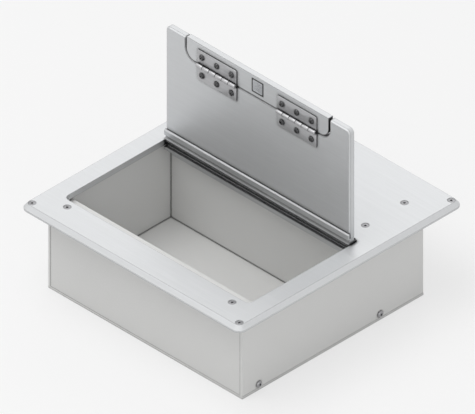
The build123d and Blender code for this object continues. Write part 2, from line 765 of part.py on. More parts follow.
for side, middle in zip(("left", "right"), butt_xs):
    knuckle_middles = [
        middle - butt_width / 2 + knuckle_length * (index + 0.5) for index in range(knuckle_count)
    ]
    for name, first, up in (("flap", 0, 1), ("lid", 1, -1)):
        with BuildPart() as butt_leaf:
            with BuildSketch(Plane.XZ.offset(-lid_front)):
                with Locations((middle, butt_z + up * (butt_leaf_height + plate_start) / 2)):
                    Rectangle(butt_width, butt_leaf_height - plate_start)
                with Locations(*[(x, butt_z + up * plate_start / 2) for x in knuckle_middles[first::2]]):
                    Rectangle(knuckle_length - knuckle_gap, plate_start)
                with Locations(
                    *[
                        (middle + butt_screw_pitch * step, butt_z + up * butt_screw_offset)
                        for step in (-1, 0, 1)
                    ]
                ):
                    Circle(m4_radius + hole_clearance, mode=Mode.SUBTRACT)
            extrude(amount=butt_leaf_thickness)
            for x in knuckle_middles[first::2]:
                with BuildSketch(Plane.YZ.offset(x)):
                    with Locations((butt_y, butt_z)):
                        Circle(knuckle_radius)
                extrude(amount=(knuckle_length - knuckle_gap) / 2, both=True)
            with BuildSketch(Plane.YZ.offset(middle)):
                with Locations((butt_y, butt_z)):
                    Circle(butt_pin_radius + butt_pin_clearance)
            extrude(amount=butt_width, both=True, mode=Mode.SUBTRACT)
        butt_leaf.part.label = f"{side}_butt_{name}_leaf"
        export_step(butt_leaf.part, f"parts/{side}_butt_{name}_leaf.step")

    with BuildPart() as butt_pin:
        with BuildSketch(Plane.YZ.offset(middle)):
            with Locations((butt_y, butt_z)):
                Circle(butt_pin_radius)
        extrude(amount=(butt_width - knuckle_gap) / 2, both=True)
    butt_pin.part.label = f"{side}_butt_pin"
    export_step(butt_pin.part, f"parts/{side}_butt_pin.step")

butt_screw = domed_screw(m4_radius, m4_dome_radius, m4_dome_height, butt_screw_length, m4_socket)
for name, up in (("flap", 1), ("lid", -1)):
    with BuildPart() as butt_screws:
        with Locations(
            *[
                Location((x, butt_leaf_face, butt_z + up * butt_screw_offset), (90, 0, 0))
                for x in butt_screw_xs
            ]
        ):
            add(butt_screw)
    butt_screws.part.label = f"butt_{name}_screws"
    export_step(butt_screws.part, f"parts/butt_{name}_screws.step")

# Socket panel along the right side of the main compartment, with a foot on the base and a top rail to the side
panel_length_start = front_inner + flange + panel_end_gap
panel_length_end = divider_front - panel_end_gap
panel_middle = (panel_length_start + panel_length_end) / 2
panel_length = panel_length_end - panel_length_start
panel_top = base_top + panel_height
module_z = base_top + panel_height / 2
module_ys = [panel_middle + (index - (module_count - 1) / 2) * module_side for index in range(module_count)]
outlet_ys = module_ys[:-1]
blank_y = module_ys[-1]
hole_side = module_body_side + 2 * module_body_clearance
foot_screw_ys = (panel_middle - module_side, panel_middle + module_side)
panel_screw_x = panel_front + panel_foot - panel_screw_setback

with BuildPart() as socket_panel:
    with Locations((panel_front, panel_middle, base_top)):
        Box(panel_thickness, panel_length, panel_height, align=(Align.MIN, Align.CENTER, Align.MIN))
        Box(panel_foot, panel_length, panel_thickness, align=(Align.MIN, Align.CENTER, Align.MIN))
    with Locations((panel_front, panel_middle, panel_top)):
        Box(
            side_inner - panel_front,
            panel_length,
            panel_thickness,
            align=(Align.MIN, Align.CENTER, Align.MAX),
        )
    with BuildSketch(Plane.YZ.offset(panel_front)):
        with Locations(*[(y, module_z) for y in module_ys]):
            Rectangle(hole_side, hole_side)
    extrude(amount=panel_thickness, mode=Mode.SUBTRACT)
    with Locations(*[(panel_screw_x, y, base_top + panel_thickness) for y in foot_screw_ys]):
        Hole(m4_radius + hole_clearance, depth=panel_thickness)
socket_panel.part.label = "socket_panel"
export_step(socket_panel.part, "parts/socket_panel.step")

panel_screw = domed_screw(m4_radius, m4_dome_radius, m4_dome_height, panel_thickness, m4_socket)
with BuildPart() as socket_panel_screws:
    with Locations(*[(panel_screw_x, y, base_top + panel_thickness) for y in foot_screw_ys]):
        add(panel_screw)
socket_panel_screws.part.label = "socket_panel_screws"
export_step(socket_panel_screws.part, "parts/socket_panel_screws.step")


def module_blank(y):
    """The outer shape of one module: a bezel in front of the panel and a body behind it."""
    face = Plane(origin=(panel_front, y, module_z), x_dir=(0, 1, 0), z_dir=(-1, 0, 0))
    with BuildPart() as blank:
        with BuildSketch(face):
            RectangleRounded(module_side - module_gap, module_side - module_gap, bezel_corner_radius)
        extrude(amount=bezel_thickness)
        fillet(blank.faces().sort_by(Axis.X)[0].edges(), bezel_corner_radius / 2)
        with BuildSketch(face):
            Rectangle(module_body_side, module_body_side)
        extrude(amount=-module_body_depth)
    return blank.part


bezel_face = panel_front - bezel_thickness
recess_floor = bezel_face + recess_depth
contact_start = recess_floor + pin_wall
body_back = panel_front + module_body_depth
clip_start = recess_floor - clip_length

for number, y in enumerate(outlet_ys, 1):
    with BuildPart() as socket_outlet:
        add(module_blank(y))
        with BuildSketch(Plane.YZ.offset(bezel_face)):
            with Locations((y, module_z)):
                Circle(recess_radius)
        extrude(amount=recess_depth, mode=Mode.SUBTRACT)
        with BuildSketch(Plane.YZ.offset(recess_floor)):
            with Locations((y - pin_spacing / 2, module_z), (y + pin_spacing / 2, module_z)):
                Circle(pin_hole_radius)
        extrude(amount=pin_wall, mode=Mode.SUBTRACT)
        with BuildSketch(Plane.YZ.offset(contact_start)):
            with Locations((y - pin_spacing / 2, module_z), (y + pin_spacing / 2, module_z)):
                Circle(contact_radius + hole_clearance)
        extrude(amount=body_back - contact_start, mode=Mode.SUBTRACT)
    socket_outlet.part.label = f"socket_outlet_{number}"
    export_step(socket_outlet.part, f"parts/socket_outlet_{number}.step")

with BuildPart() as blank_module:
    add(module_blank(blank_y))
    with BuildSketch(Plane.YZ.offset(bezel_face + pin_wall)):
        with Locations((blank_y, module_z)):
            Rectangle(module_body_side - 2 * pin_wall, module_body_side - 2 * pin_wall)
    extrude(amount=body_back - bezel_face - pin_wall, mode=Mode.SUBTRACT)
blank_module.part.label = "blank_module"
export_step(blank_module.part, "parts/blank_module.step")

with BuildPart() as socket_contacts:
    with BuildSketch(Plane.YZ.offset(contact_start)):
        with Locations(*[(y + turn * pin_spacing / 2, module_z) for y in outlet_ys for turn in (-1, 1)]):
            Circle(contact_radius)
            Circle(contact_radius - contact_wall, mode=Mode.SUBTRACT)
    extrude(amount=contact_length)
socket_contacts.part.label = "socket_contacts"
export_step(socket_contacts.part, "parts/socket_contacts.step")

clip_z = sqrt(recess_radius**2 - (clip_width / 2) ** 2) - clip_thickness
with BuildPart() as earth_clips:
    with BuildSketch(Plane.YZ.offset(clip_start)):
        with Locations(
            *[(y, module_z + turn * (clip_z + clip_thickness / 2)) for y in outlet_ys for turn in (-1, 1)]
        ):
            Rectangle(clip_width, clip_thickness)
    extrude(amount=clip_length)
earth_clips.part.label = "earth_clips"
export_step(earth_clips.part, "parts/earth_clips.step")

# Grommet in the divider, for the cables from the terminals to the outlets
with BuildPart() as cable_grommet:
    with BuildSketch():
        with BuildLine():
            Polyline(
                (grommet_bore_radius, -grommet_rim_thickness),
                (grommet_hole_radius + grommet_rim, -grommet_rim_thickness),
                (grommet_hole_radius + grommet_rim, 0),
                (grommet_hole_radius, 0),
                (grommet_hole_radius, sheet),
                (grommet_hole_radius + grommet_rim, sheet),
                (grommet_hole_radius + grommet_rim, sheet + grommet_rim_thickness),
                (grommet_bore_radius, sheet + grommet_rim_thickness),
                close=True,
            )
        make_face()
    revolve(axis=Axis.Y)
cable_grommet.part.position = (grommet_x, divider_front, grommet_z)
cable_grommet.part.label = "cable_grommet"
export_step(cable_grommet.part, "parts/cable_grommet.step")

# Plug in the middle conduit entry
with BuildPart() as entry_plug:
    with BuildSketch(Plane.XZ.offset(-box_rear)):
        with Locations((0, entry_z)):
            Circle(entry_radius + plug_rim)
    extrude(amount=-plug_thickness)
    fillet(entry_plug.faces().sort_by(Axis.Y)[-1].edges(), plug_thickness / 2)
    with BuildSketch(Plane.XZ.offset(-box_rear)):
        with Locations((0, entry_z)):
            Circle(entry_radius - hole_clearance)
            Circle(entry_radius - hole_clearance - plug_thickness, mode=Mode.SUBTRACT)
    extrude(amount=plug_skirt)
entry_plug.part.label = "entry_plug"
export_step(entry_plug.part, "parts/entry_plug.step")

# Terminal block on the base of the wiring compartment
terminal_xs = [(index - (terminal_count - 1) / 2) * terminal_pitch for index in range(terminal_count)]
terminal_top = base_top + terminal_foot_height + terminal_height

with BuildPart() as terminal_block:
    with Locations((0, terminal_y, base_top)):
        Box(
            terminal_length,
            terminal_foot_depth,
            terminal_foot_height,
            align=(Align.CENTER, Align.CENTER, Align.MIN),
        )
    with Locations((0, terminal_y, base_top + terminal_foot_height)):
        Box(
            terminal_length,
            terminal_depth,
            terminal_height,
            align=(Align.CENTER, Align.CENTER, Align.MIN),
        )
    with BuildSketch(Plane.XZ.offset(-terminal_y)):
        with Locations(*[(x, base_top + terminal_foot_height + terminal_height / 2) for x in terminal_xs]):
            Circle(terminal_wire_radius)
    extrude(amount=terminal_depth, both=True, mode=Mode.SUBTRACT)
    with Locations(*[(x, terminal_y, terminal_top) for x in terminal_xs]):
        Hole(terminal_screw_radius + hole_clearance, depth=terminal_screw_height)
terminal_block.part.label = "terminal_block"
export_step(terminal_block.part, "parts/terminal_block.step")

with BuildPart() as terminal_screws:
    with BuildSketch(Plane.XY.offset(terminal_top - terminal_screw_sink)):
        with Locations(*[(x, terminal_y) for x in terminal_xs]):
            Circle(terminal_screw_radius)
    extrude(amount=-(terminal_screw_height - terminal_screw_sink - terminal_screw_lift))
    with BuildSketch(Plane.XY.offset(terminal_top - terminal_screw_sink)):
        with Locations(*[(x, terminal_y) for x in terminal_xs]):
            Rectangle(2 * terminal_screw_radius, terminal_slot_width)
    extrude(amount=-terminal_slot_depth, mode=Mode.SUBTRACT)
terminal_screws.part.label = "terminal_screws"
export_step(terminal_screws.part, "parts/terminal_screws.step")

# Earth stud on the base, with two nuts that clamp the earth wires
with BuildPart() as earth_stud:
    with BuildSketch(Plane.XY.offset(base_top)):
        with Locations((-earth_x, terminal_y)):
            Circle(earth_radius)
    extrude(amount=earth_length)
    chamfer(earth_stud.faces().sort_by(Axis.Z)[-1].edges(), earth_chamfer)
earth_stud.part.label = "earth_stud"
export_step(earth_stud.part, "parts/earth_stud.step")

earth_nut = hexagon_nut(earth_nut_flats, earth_nut_height, earth_radius + hole_clearance)
with BuildPart() as earth_nuts:
    with Locations(
        (-earth_x, terminal_y, base_top),
        (-earth_x, terminal_y, base_top + earth_nut_height + earth_wire_gap),
    ):
        add(earth_nut)
earth_nuts.part.label = "earth_nuts"
export_step(earth_nuts.part, "parts/earth_nuts.step")
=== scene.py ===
import json
import logging
from collections.abc import Callable, Iterator
from contextlib import contextmanager
from dataclasses import dataclass, field, replace
from enum import Enum
from math import cos, radians, tau

import bmesh
import bpy
from mathutils import Matrix, Vector


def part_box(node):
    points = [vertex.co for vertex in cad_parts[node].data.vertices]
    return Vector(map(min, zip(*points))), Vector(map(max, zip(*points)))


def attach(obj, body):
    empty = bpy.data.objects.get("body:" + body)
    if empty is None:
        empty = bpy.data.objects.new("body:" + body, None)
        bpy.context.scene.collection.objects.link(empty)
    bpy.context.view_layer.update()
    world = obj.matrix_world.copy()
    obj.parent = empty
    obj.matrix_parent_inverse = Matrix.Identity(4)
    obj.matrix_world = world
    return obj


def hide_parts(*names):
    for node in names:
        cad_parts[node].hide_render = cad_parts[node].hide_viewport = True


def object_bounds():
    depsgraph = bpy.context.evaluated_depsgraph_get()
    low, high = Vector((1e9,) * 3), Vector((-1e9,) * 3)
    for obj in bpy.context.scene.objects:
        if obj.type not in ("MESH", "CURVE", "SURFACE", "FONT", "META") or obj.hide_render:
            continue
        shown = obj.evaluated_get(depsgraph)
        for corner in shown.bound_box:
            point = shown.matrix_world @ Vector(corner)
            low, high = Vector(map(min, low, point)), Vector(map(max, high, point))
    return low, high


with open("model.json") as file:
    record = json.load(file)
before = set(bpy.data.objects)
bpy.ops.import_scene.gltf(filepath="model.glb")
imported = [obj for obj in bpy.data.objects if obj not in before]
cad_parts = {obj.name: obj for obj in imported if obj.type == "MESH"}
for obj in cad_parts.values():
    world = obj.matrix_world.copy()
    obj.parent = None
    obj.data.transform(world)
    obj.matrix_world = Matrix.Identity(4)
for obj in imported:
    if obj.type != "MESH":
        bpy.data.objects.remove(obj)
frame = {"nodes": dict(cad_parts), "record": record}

CAD_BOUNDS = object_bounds()
MM = 0.001
# Points nearer to each other than this are one point.
MERGE = 0.001 * MM
# A face looks along a way where the cosine between its normal and the way is more than this.
STRAIGHT = 0.999
# A thread's ridge is a three-sided bar. Its radius and the thread's depth are these shares of the pitch.
RIDGE_SHARE, DEPTH_SHARE = 0.56, 0.65
THREAD_STEPS = 24
WHITE = (1.0, 1.0, 1.0, 1.0)

Colour = tuple[float, float, float]
Triple = tuple[float, float, float]
Piece = bpy.types.Object
Socket = bpy.types.NodeSocket

UP, DOWN = (0.0, 0.0, 1.0), (0.0, 0.0, -1.0)
LEFT, RIGHT = (-1.0, 0.0, 0.0), (1.0, 0.0, 0.0)
FORWARD, BACK = (0.0, -1.0, 0.0), (0.0, 1.0, 0.0)

log = logging.getLogger("floor_socket_box")


# Selecting and modelling


def focus(*pieces: Piece) -> None:
    """Makes these pieces the only ones selected, and the first one active."""
    bpy.ops.object.select_all(action="DESELECT")
    for piece in pieces:
        piece.select_set(True)
    bpy.context.view_layer.objects.active = pieces[0]


def apply_modifier(piece: Piece, kind: str, **settings: object) -> None:
    """Adds one modifier to a piece and applies it.

    Args:
        piece: The piece that the modifier works on.
        kind: Blender's name for the modifier's type.
        settings: Values for the modifier's own properties.
    """
    focus(piece)
    modifier = piece.modifiers.new(kind.title(), kind)
    for key, value in settings.items():
        setattr(modifier, key, value)
    bpy.ops.object.modifier_apply(modifier=modifier.name)


def settle(piece: Piece) -> None:
    """Puts a piece's place, turn and scale into its mesh, so that its object sits at the origin."""
    focus(piece)
    bpy.ops.object.transform_apply(location=True, rotation=True, scale=True)


@contextmanager
def editing(piece: Piece) -> Iterator[None]:
    """Keeps a piece in edit mode while its shape is worked on."""
    focus(piece)
    bpy.ops.object.mode_set(mode="EDIT")
    yield
    bpy.ops.object.mode_set(mode="OBJECT")


def tidy_mesh(piece: Piece, flat_angle: float) -> None:
    """Merges a piece's loose triangles and dissolves the edges inside its flat faces.

    Args:
        piece: The piece to merge.
        flat_angle: Faces that meet at less than this angle, in radians, become one.
    """
    with editing(piece):
        bpy.ops.mesh.select_all(action="SELECT")
        bpy.ops.mesh.remove_doubles(threshold=MERGE)
        bpy.ops.mesh.dissolve_limited(angle_limit=flat_angle)


@contextmanager
def picking(piece: Piece, kind: str) -> Iterator[bmesh.types.BMesh]:
    """Lends a piece's mesh in edit mode with nothing selected, and keeps what is then selected.

    Args:
        piece: The piece that is in edit mode.
        kind: What is to be selected, FACE or EDGE.

    Yields:
        The mesh.
    """
    bpy.ops.mesh.select_mode(type=kind)
    bpy.ops.mesh.select_all(action="DESELECT")
    mesh = bmesh.from_edit_mesh(piece.data)
    yield mesh
    mesh.select_flush_mode()
    bmesh.update_edit_mesh(piece.data)


def pick_faces(piece: Piece, way: Triple) -> None:
    """Selects, in edit mode, the faces that look straight along a way, and no others."""
    with picking(piece, "FACE") as mesh:
        for face in mesh.faces:
            face.select = face.normal.dot(Vector(way)) > STRAIGHT


def pick_edges(piece: Piece, wanted: Callable[[Vector, Vector], bool]) -> None:
    """Selects, in edit mode, the edges for which wanted(start, end) is true, and no others."""
    with picking(piece, "EDGE") as mesh:
        for edge in mesh.edges:
            edge.select = wanted(edge.verts[0].co, edge.verts[1].co)


def pick_sharp_edges(piece: Piece, angle: float, shortest: float) -> None:
    """Selects, in edit mode, the long sharp edges of a piece, and no others.

    Args:
        piece: The piece that is in edit mode.
        angle: How much the faces beside an edge must turn for it to be sharp, in radians.
        shortest: How long an edge must be, in metres.
    """
    with picking(piece, "EDGE") as mesh:
        for edge in mesh.edges:
            sharp = len(edge.link_faces) == 2 and edge.calc_face_angle() > angle
            edge.select = sharp and edge.calc_length() > shortest


def bevel(width: float, segments: int = 1) -> None:
    """Bevels the selected edges in edit mode."""
    bpy.ops.mesh.bevel(offset=width, segments=segments, affect="EDGES")


def bevel_top(piece: Piece, top: float, width: float, segments: int = 1) -> None:
    """Bevels, in edit mode, the edges at the height of a piece's top."""
    pick_edges(piece, lambda a, b: min(a.z, b.z) > top - MERGE)
    bevel(width, segments)


def bevel_front(piece: Piece, width: float, segments: int) -> None:
    """Bevels, in edit mode, the rim of a piece's front face."""
    pick_faces(piece, FORWARD)
    bpy.ops.mesh.region_to_loop()
    bevel(width, segments)


def reach(piece: Piece, drop: float, radius: float, new_radius: float) -> None:
    """Extrudes the selected end face of a turned piece, in edit mode, and resizes it.

    Args:
        piece: The piece, with its end face selected.
        drop: How far down the face goes, in metres.
        radius: The face's radius before.
        new_radius: The face's radius after.
    """
    bpy.ops.mesh.extrude_region_move(TRANSFORM_OT_translate={"value": (0, 0, -drop)})
    mesh = bmesh.from_edit_mesh(piece.data)
    height = next(vertex.co.z for vertex in mesh.verts if vertex.select)
    share = new_radius / radius
    bpy.ops.transform.resize(value=(share, share, 1), center_override=(0, 0, height))


def named(name: str) -> Piece:
    """Names the piece that was just added or joined, and puts its place into its mesh."""
    piece = bpy.context.object
    piece.name = piece.data.name = name
    settle(piece)
    return piece


def cylinder(name: str, radius: float, depth: float, top: float, sides: int = 32) -> Piece:
    """Adds a cylinder or prism along Z, to be shaped further.

    Args:
        name: The piece's name.
        radius: The radius of its corners.
        depth: How tall it is.
        top: The height of its top face.
        sides: How many sides it has.

    Returns:
        The piece.
    """
    bpy.ops.object.select_all(action="DESELECT")
    bpy.ops.mesh.primitive_cylinder_add(
        vertices=sides, radius=radius, depth=depth, location=(0, 0, top - depth / 2))
    return named(name)


def block(name: str, low: Vector, high: Vector) -> Piece:
    """Adds a block, to be shaped further.

    Args:
        name: The piece's name.
        low: Its corner with the lowest coordinates.
        high: The corner across from that one.

    Returns:
        The piece.
    """
    bpy.ops.object.select_all(action="DESELECT")
    bpy.ops.mesh.primitive_cube_add(size=1, location=(low + high) / 2, scale=high - low)
    return named(name)


def cut(piece: Piece, tool: Piece, operation: str = "DIFFERENCE") -> None:
    """Cuts a piece with a tool, which is used up."""
    apply_modifier(piece, "BOOLEAN", operation=operation, object=tool, solver="EXACT")
    bpy.data.objects.remove(tool)


def join(piece: Piece, *others: Piece) -> None:
    """Makes other pieces part of the first."""
    focus(piece, *others)
    bpy.ops.object.join()


def hexagon_radius(flats: float) -> float:
    """The radius of a hexagon's corners, from its width across the flats."""
    return flats / 2 / cos(tau / 12)


def thread(radius: float, pitch: float, top: float, length: float) -> Piece:
    """Winds the ridge of a thread down about Z.

    Args:
        radius: The thread's outer radius, in metres.
        pitch: The distance from one turn to the next.
        top: The height at which the ridge starts.
        length: How far down it runs.

    Returns:
        The ridge, closed at both ends.
    """
    ridge_radius = RIDGE_SHARE * pitch
    bpy.ops.object.select_all(action="DESELECT")
    bpy.ops.mesh.primitive_circle_add(
        vertices=3, radius=ridge_radius, rotation=(0, 0, -tau / 4), location=(0, 0, 0))
    ridge = named("thread")
    ridge.rotation_euler.x = tau / 4
    ridge.location = (radius - ridge_radius, 0, top - ridge_radius)
    settle(ridge)
    turns = max(1, int((length - 2 * ridge_radius) / pitch))
    apply_modifier(ridge, "SCREW", axis="Z", angle=tau, screw_offset=-pitch, iterations=turns,
                   steps=THREAD_STEPS, render_steps=THREAD_STEPS)
    with editing(ridge):
        bpy.ops.mesh.select_all(action="SELECT")
        bpy.ops.mesh.fill_holes(sides=3)
        bpy.ops.mesh.select_all(action="SELECT")
        bpy.ops.mesh.normals_make_consistent(inside=False)
    return ridge


def smooth(piece: Piece, angle: float = radians(40)) -> None:
    """Shades a piece smooth except where its faces meet at more than the angle."""
    focus(piece)
    bpy.ops.object.shade_smooth_by_angle(angle=angle)


def copies(piece: Piece, places: list[Matrix], name: str) -> Piece:
    """Repeats a finished piece and joins the copies into one.

    Args:
        piece: The piece to repeat. It is used up.
        places: Where each copy goes, as a matrix.
        name: The joined piece's name.

    Returns:
        One piece that holds all the copies, with its place in its mesh.
    """
    made = []
    for place in places:
        copy = piece.copy()
        copy.data = piece.data.copy()
        bpy.context.scene.collection.objects.link(copy)
        copy.matrix_world = place
        made.append(copy)
    bpy.data.objects.remove(piece)
    bpy.context.view_layer.update()
    focus(*made)
    bpy.ops.object.join()
    return named(name)


# Finishes


class Grain(Enum):
    """How a surface's fine marks run, as the stretch of a noise along X, Y and Z."""

    EVEN = (1.0, 1.0, 1.0)
    ALONG_X = (0.02, 1.0, 1.0)


def add_node(tree: bpy.types.NodeTree, kind: str, **settings: object) -> bpy.types.Node:
    """Adds a node to a tree and sets its properties."""
    made = tree.nodes.new(kind)
    for key, value in settings.items():
        setattr(made, key, value)
    return made


def set_inputs(node: bpy.types.Node, **values: object) -> None:
    """Sets a node's inputs by their names, with _ for each space."""
    for name, value in values.items():
        node.inputs[name.replace("_", " ")].default_value = value


class Graph:
    """A material with its shader, and short calls for the nodes that the finishes are made of."""

    def __init__(self, name: str) -> None:
        """Makes an empty material around one shader."""
        self.material = bpy.data.materials.new(name)
        self.material.use_nodes = True
        self.tree = self.material.node_tree
        self.shader = self.tree.nodes["Principled BSDF"]
        self.place = self.node("ShaderNodeTexCoord").outputs["Object"]

    def node(self, kind: str, **settings: object) -> bpy.types.Node:
        """Adds a node and sets its properties."""
        return add_node(self.tree, kind, **settings)

    def link(self, output: Socket, target: Socket) -> None:
        """Joins an output to an input."""
        self.tree.links.new(output, target)

    def noise(self, scale: float, detail: float, grain: Grain = Grain.EVEN) -> Socket:
        """Noise between about 0.3 and 0.7.

        Args:
            scale: Patches for each metre.
            detail: How many finer layers the noise has.
            grain: How the patches are stretched.

        Returns:
            The noise's value.
        """
        mapping = self.node("ShaderNodeMapping")
        self.link(self.place, mapping.inputs["Vector"])
        set_inputs(mapping, Scale=grain.value)
        made = self.node("ShaderNodeTexNoise")
        self.link(mapping.outputs["Vector"], made.inputs["Vector"])
        set_inputs(made, Scale=scale, Detail=detail)
        return made.outputs["Fac"]

    def cells(self, scale: float) -> Socket:
        """A random value for each crystal of a plated surface, at that many crystals for each metre."""
        made = self.node("ShaderNodeTexVoronoi")
        self.link(self.place, made.inputs["Vector"])
        set_inputs(made, Scale=scale)
        grey = self.node("ShaderNodeSeparateColor")
        self.link(made.outputs["Color"], grey.inputs["Color"])
        return grey.outputs["Red"]

    def spread(self, value: Socket, low: float, high: float, start: float = 0.3,
               end: float = 0.7) -> Socket:
        """Spreads a value over another range, and stops at both ends of it.

        Args:
            value: The value.
            low: The result where the value is start.
            high: The result where the value is end.
            start: The value at which the range begins.
            end: The value at which it ends.

        Returns:
            The result.
        """
        made = self.node("ShaderNodeMapRange")
        self.link(value, made.inputs["Value"])
        set_inputs(made, From_Min=start, From_Max=end, To_Min=low, To_Max=high)
        return made.outputs["Result"]

    def blend(self, share: Socket, first: object, second: object) -> Socket:
        """Blends two colours.

        Args:
            share: How much of the second shows.
            first: A colour, or an output that holds one.
            second: Another of either.

        Returns:
            The blended colour.
        """
        made = self.node("ShaderNodeMix", data_type="RGBA")
        self.link(share, made.inputs["Factor"])
        for socket, colour in ((made.inputs[6], first), (made.inputs[7], second)):
            if isinstance(colour, Socket):
                self.link(colour, socket)
            else:
                socket.default_value = (*colour, 1.0)
        return made.outputs[2]

    def toned(self, value: Socket, colour: Colour, dark: float, light: float,
              start: float = 0.3, end: float = 0.7) -> Socket:
        """Varies a colour's tone.

        Args:
            value: The value that the tone follows.
            colour: The colour.
            dark: The share of the colour where the value is start.
            light: The share of the colour where the value is end.
            start: The value of the darkest places.
            end: The value of the lightest places.

        Returns:
            The colour in its tones.
        """
        share = self.spread(value, 0.0, 1.0, start, end)
        return self.blend(share, scaled(colour, dark), scaled(colour, light))

    def veiled(self, value: Socket, colour: object, veil: Colour, cover: float) -> Socket:
        """The colour under a veil that covers up to so much of it, as the value goes."""
        return self.blend(self.spread(value, 0.0, cover), colour, veil)

    def edged(self, colour: Socket, edge: Colour, reach: float, start: float = 0.02,
              full: float = 0.25) -> Socket:
        """The colour, with another tone on the sharp edges of the shape.

        Args:
            colour: The colour away from the edges.
            edge: The colour on an edge.
            reach: How far from an edge the tone reaches, in metres.
            start: How much a rounded surface would turn where the tone begins.
            full: How much it would turn where the tone is full.

        Returns:
            The colour with its edges.
        """
        rounded = self.node("ShaderNodeBevel", samples=6)
        set_inputs(rounded, Radius=reach)
        surface = self.node("ShaderNodeNewGeometry")
        turned = self.node("ShaderNodeVectorMath", operation="DISTANCE")
        self.link(rounded.outputs["Normal"], turned.inputs[0])
        self.link(surface.outputs["Normal"], turned.inputs[1])
        return self.blend(self.spread(turned.outputs["Value"], 0.0, 1.0, start, full), colour, edge)

    def shaded(self, colour: Socket, deep: Colour, reach: float = 2 * MM, strength: float = 0.85,
               closed_at: float = 0.15, open_at: float = 0.75) -> Socket:
        """The colour with painted shade: darkened in gaps, grooves and next to other parts, where shade
        falls.

        Args:
            colour: The colour in the open.
            deep: The colour of the painted shade deep in a gap.
            reach: How near the other wall of a gap must be, in metres.
            strength: How much of the deep colour shows in the tightest gaps.
            closed_at: How open a place is, from 0 to 1, where the darkening is full.
            open_at: How open a place must be to keep its own colour.

        Returns:
            The colour with the dark gaps.
        """
        # Painted shade: ambient occlusion darkens the colour where other surfaces are near.
        felt = self.node("ShaderNodeAmbientOcclusion", samples=6)
        set_inputs(felt, Distance=reach)
        share = self.spread(felt.outputs["AO"], strength, 0.0, closed_at, open_at)
        return self.blend(share, colour, deep)

    def bump(self, height: Socket, depth: float, under: Socket | None = None) -> Socket:
        """A surface normal from a height.

        Args:
            height: The height, from 0 to 1.
            depth: How deep a height of 1 is, in metres.
            under: The normal that this one lies over.

        Returns:
            The normal.
        """
        made = self.node("ShaderNodeBump")
        set_inputs(made, Distance=depth, Strength=1.0)
        self.link(height, made.inputs["Height"])
        if under:
            self.link(under, made.inputs["Normal"])
        return made.outputs["Normal"]

    def surface(self, colour: Socket, roughness: Socket,
                normal: Socket, **constants: float) -> None:
        """Joins the finish to the shader and sets the constants on its own sockets."""
        self.link(colour, self.shader.inputs["Base Color"])
        self.link(roughness, self.shader.inputs["Roughness"])
        self.link(normal, self.shader.inputs["Normal"])
        set_inputs(self.shader, **constants)


def scaled(colour: Colour, share: float) -> Colour:
    """The colour, made darker or lighter by a share."""
    return tuple(min(1.0, part * share) for part in colour)


@dataclass(frozen=True)
class Finish:
    """What the finishes share: the name of the slot, and the colour before any variation."""

    name: str
    colour: Colour

    def build(self) -> bpy.types.Material:
        """Makes the material."""
        graph = Graph(self.name)
        self.paint(graph)
        return graph.material

    def paint(self, g: Graph) -> None:
        """Makes the finish's nodes in an empty material."""
        raise NotImplementedError

    def tone(self, share: float) -> Colour:
        """The finish's colour, made darker or lighter by a share."""
        return scaled(self.colour, share)


@dataclass(frozen=True)
class AnodisedAluminium(Finish):
    """Satin anodised aluminium: brushed lines, faint broad patches, and darker sharp edges."""

    roughness: float = 0.46

    def paint(self, g: Graph) -> None:
        """Makes the finish's nodes."""
        lines = g.noise(scale=1800, detail=4, grain=Grain.ALONG_X)
        bands = g.noise(scale=260, detail=3, grain=Grain.ALONG_X)
        patches = g.noise(scale=9, detail=2)
        colour = g.toned(lines, self.colour, dark=0.93, light=1.04)
        colour = g.veiled(bands, colour, self.tone(0.9), cover=0.4)
        colour = g.veiled(patches, colour, self.tone(0.93), cover=0.35)
        colour = g.edged(colour, self.tone(0.55), reach=0.9 * MM, full=0.12)
        # Painted shade: much darker in gaps, grooves and next to other parts, as contact shadow.
        colour = g.shaded(colour, self.tone(0.06), reach=5 * MM, strength=0.97, closed_at=0.7, open_at=0.97)
        roughness = g.spread(lines, low=self.roughness - 0.06, high=self.roughness + 0.08)
        g.surface(colour, roughness, g.bump(lines, depth=0.012 * MM),
                  Metallic=0.75, Coat_Weight=0.15, Coat_Roughness=0.35)


@dataclass(frozen=True)
class DrawnAluminium(Finish):
    """Extruded and anodised aluminium: die lines along the length, and painted shade where the profile is
    deep.
    """

    # groove: the tone of the darker die streaks, and, much darker, the colour of the painted shade in the
    # profile's recesses.
    groove: Colour

    def paint(self, g: Graph) -> None:
        """Makes the finish's nodes."""
        lines = g.noise(scale=2600, detail=3, grain=Grain.ALONG_X)
        streaks = g.noise(scale=500, detail=2, grain=Grain.ALONG_X)
        colour = g.toned(lines, self.colour, dark=0.9, light=1.05)
        colour = g.veiled(streaks, colour, self.groove, cover=0.5)
        colour = g.edged(colour, self.tone(1.15), reach=0.4 * MM)
        # Painted shade: nearly black in the teeth, grooves and gaps of the profile.
        colour = g.shaded(colour, scaled(self.groove, 0.03), reach=6 * MM, strength=1.0, closed_at=0.75,
                          open_at=0.98)
        g.surface(colour, g.spread(lines, low=0.30, high=0.44), g.bump(lines, depth=0.02 * MM), Metallic=0.8)


@dataclass(frozen=True)
class PowderCoat(Finish):
    """Fine textured powder coat on sheet: a pebbled surface with faint speckle, thinner on the corners."""

    thin: Colour

    def paint(self, g: Graph) -> None:
        """Makes the finish's nodes."""
        pebbles = g.noise(scale=1500, detail=2)
        speckle = g.noise(scale=4200, detail=1)
        drift = g.noise(scale=7, detail=2)
        colour = g.toned(speckle, self.colour, dark=0.94, light=1.02, start=0.38, end=0.62)
        colour = g.veiled(drift, colour, self.tone(0.95), cover=0.5)
        colour = g.edged(colour, self.thin, reach=0.5 * MM, start=0.05, full=0.5)
        # Painted shade in the box's seams, corners, gaps and next to other parts.
        colour = g.shaded(colour, self.tone(0.15), reach=2.5 * MM, closed_at=0.6, open_at=0.96)
        normal = g.bump(speckle, depth=0.015 * MM, under=g.bump(pebbles, depth=0.06 * MM))
        g.surface(colour, g.spread(pebbles, low=0.42, high=0.58), normal, Specular_IOR_Level=0.45)


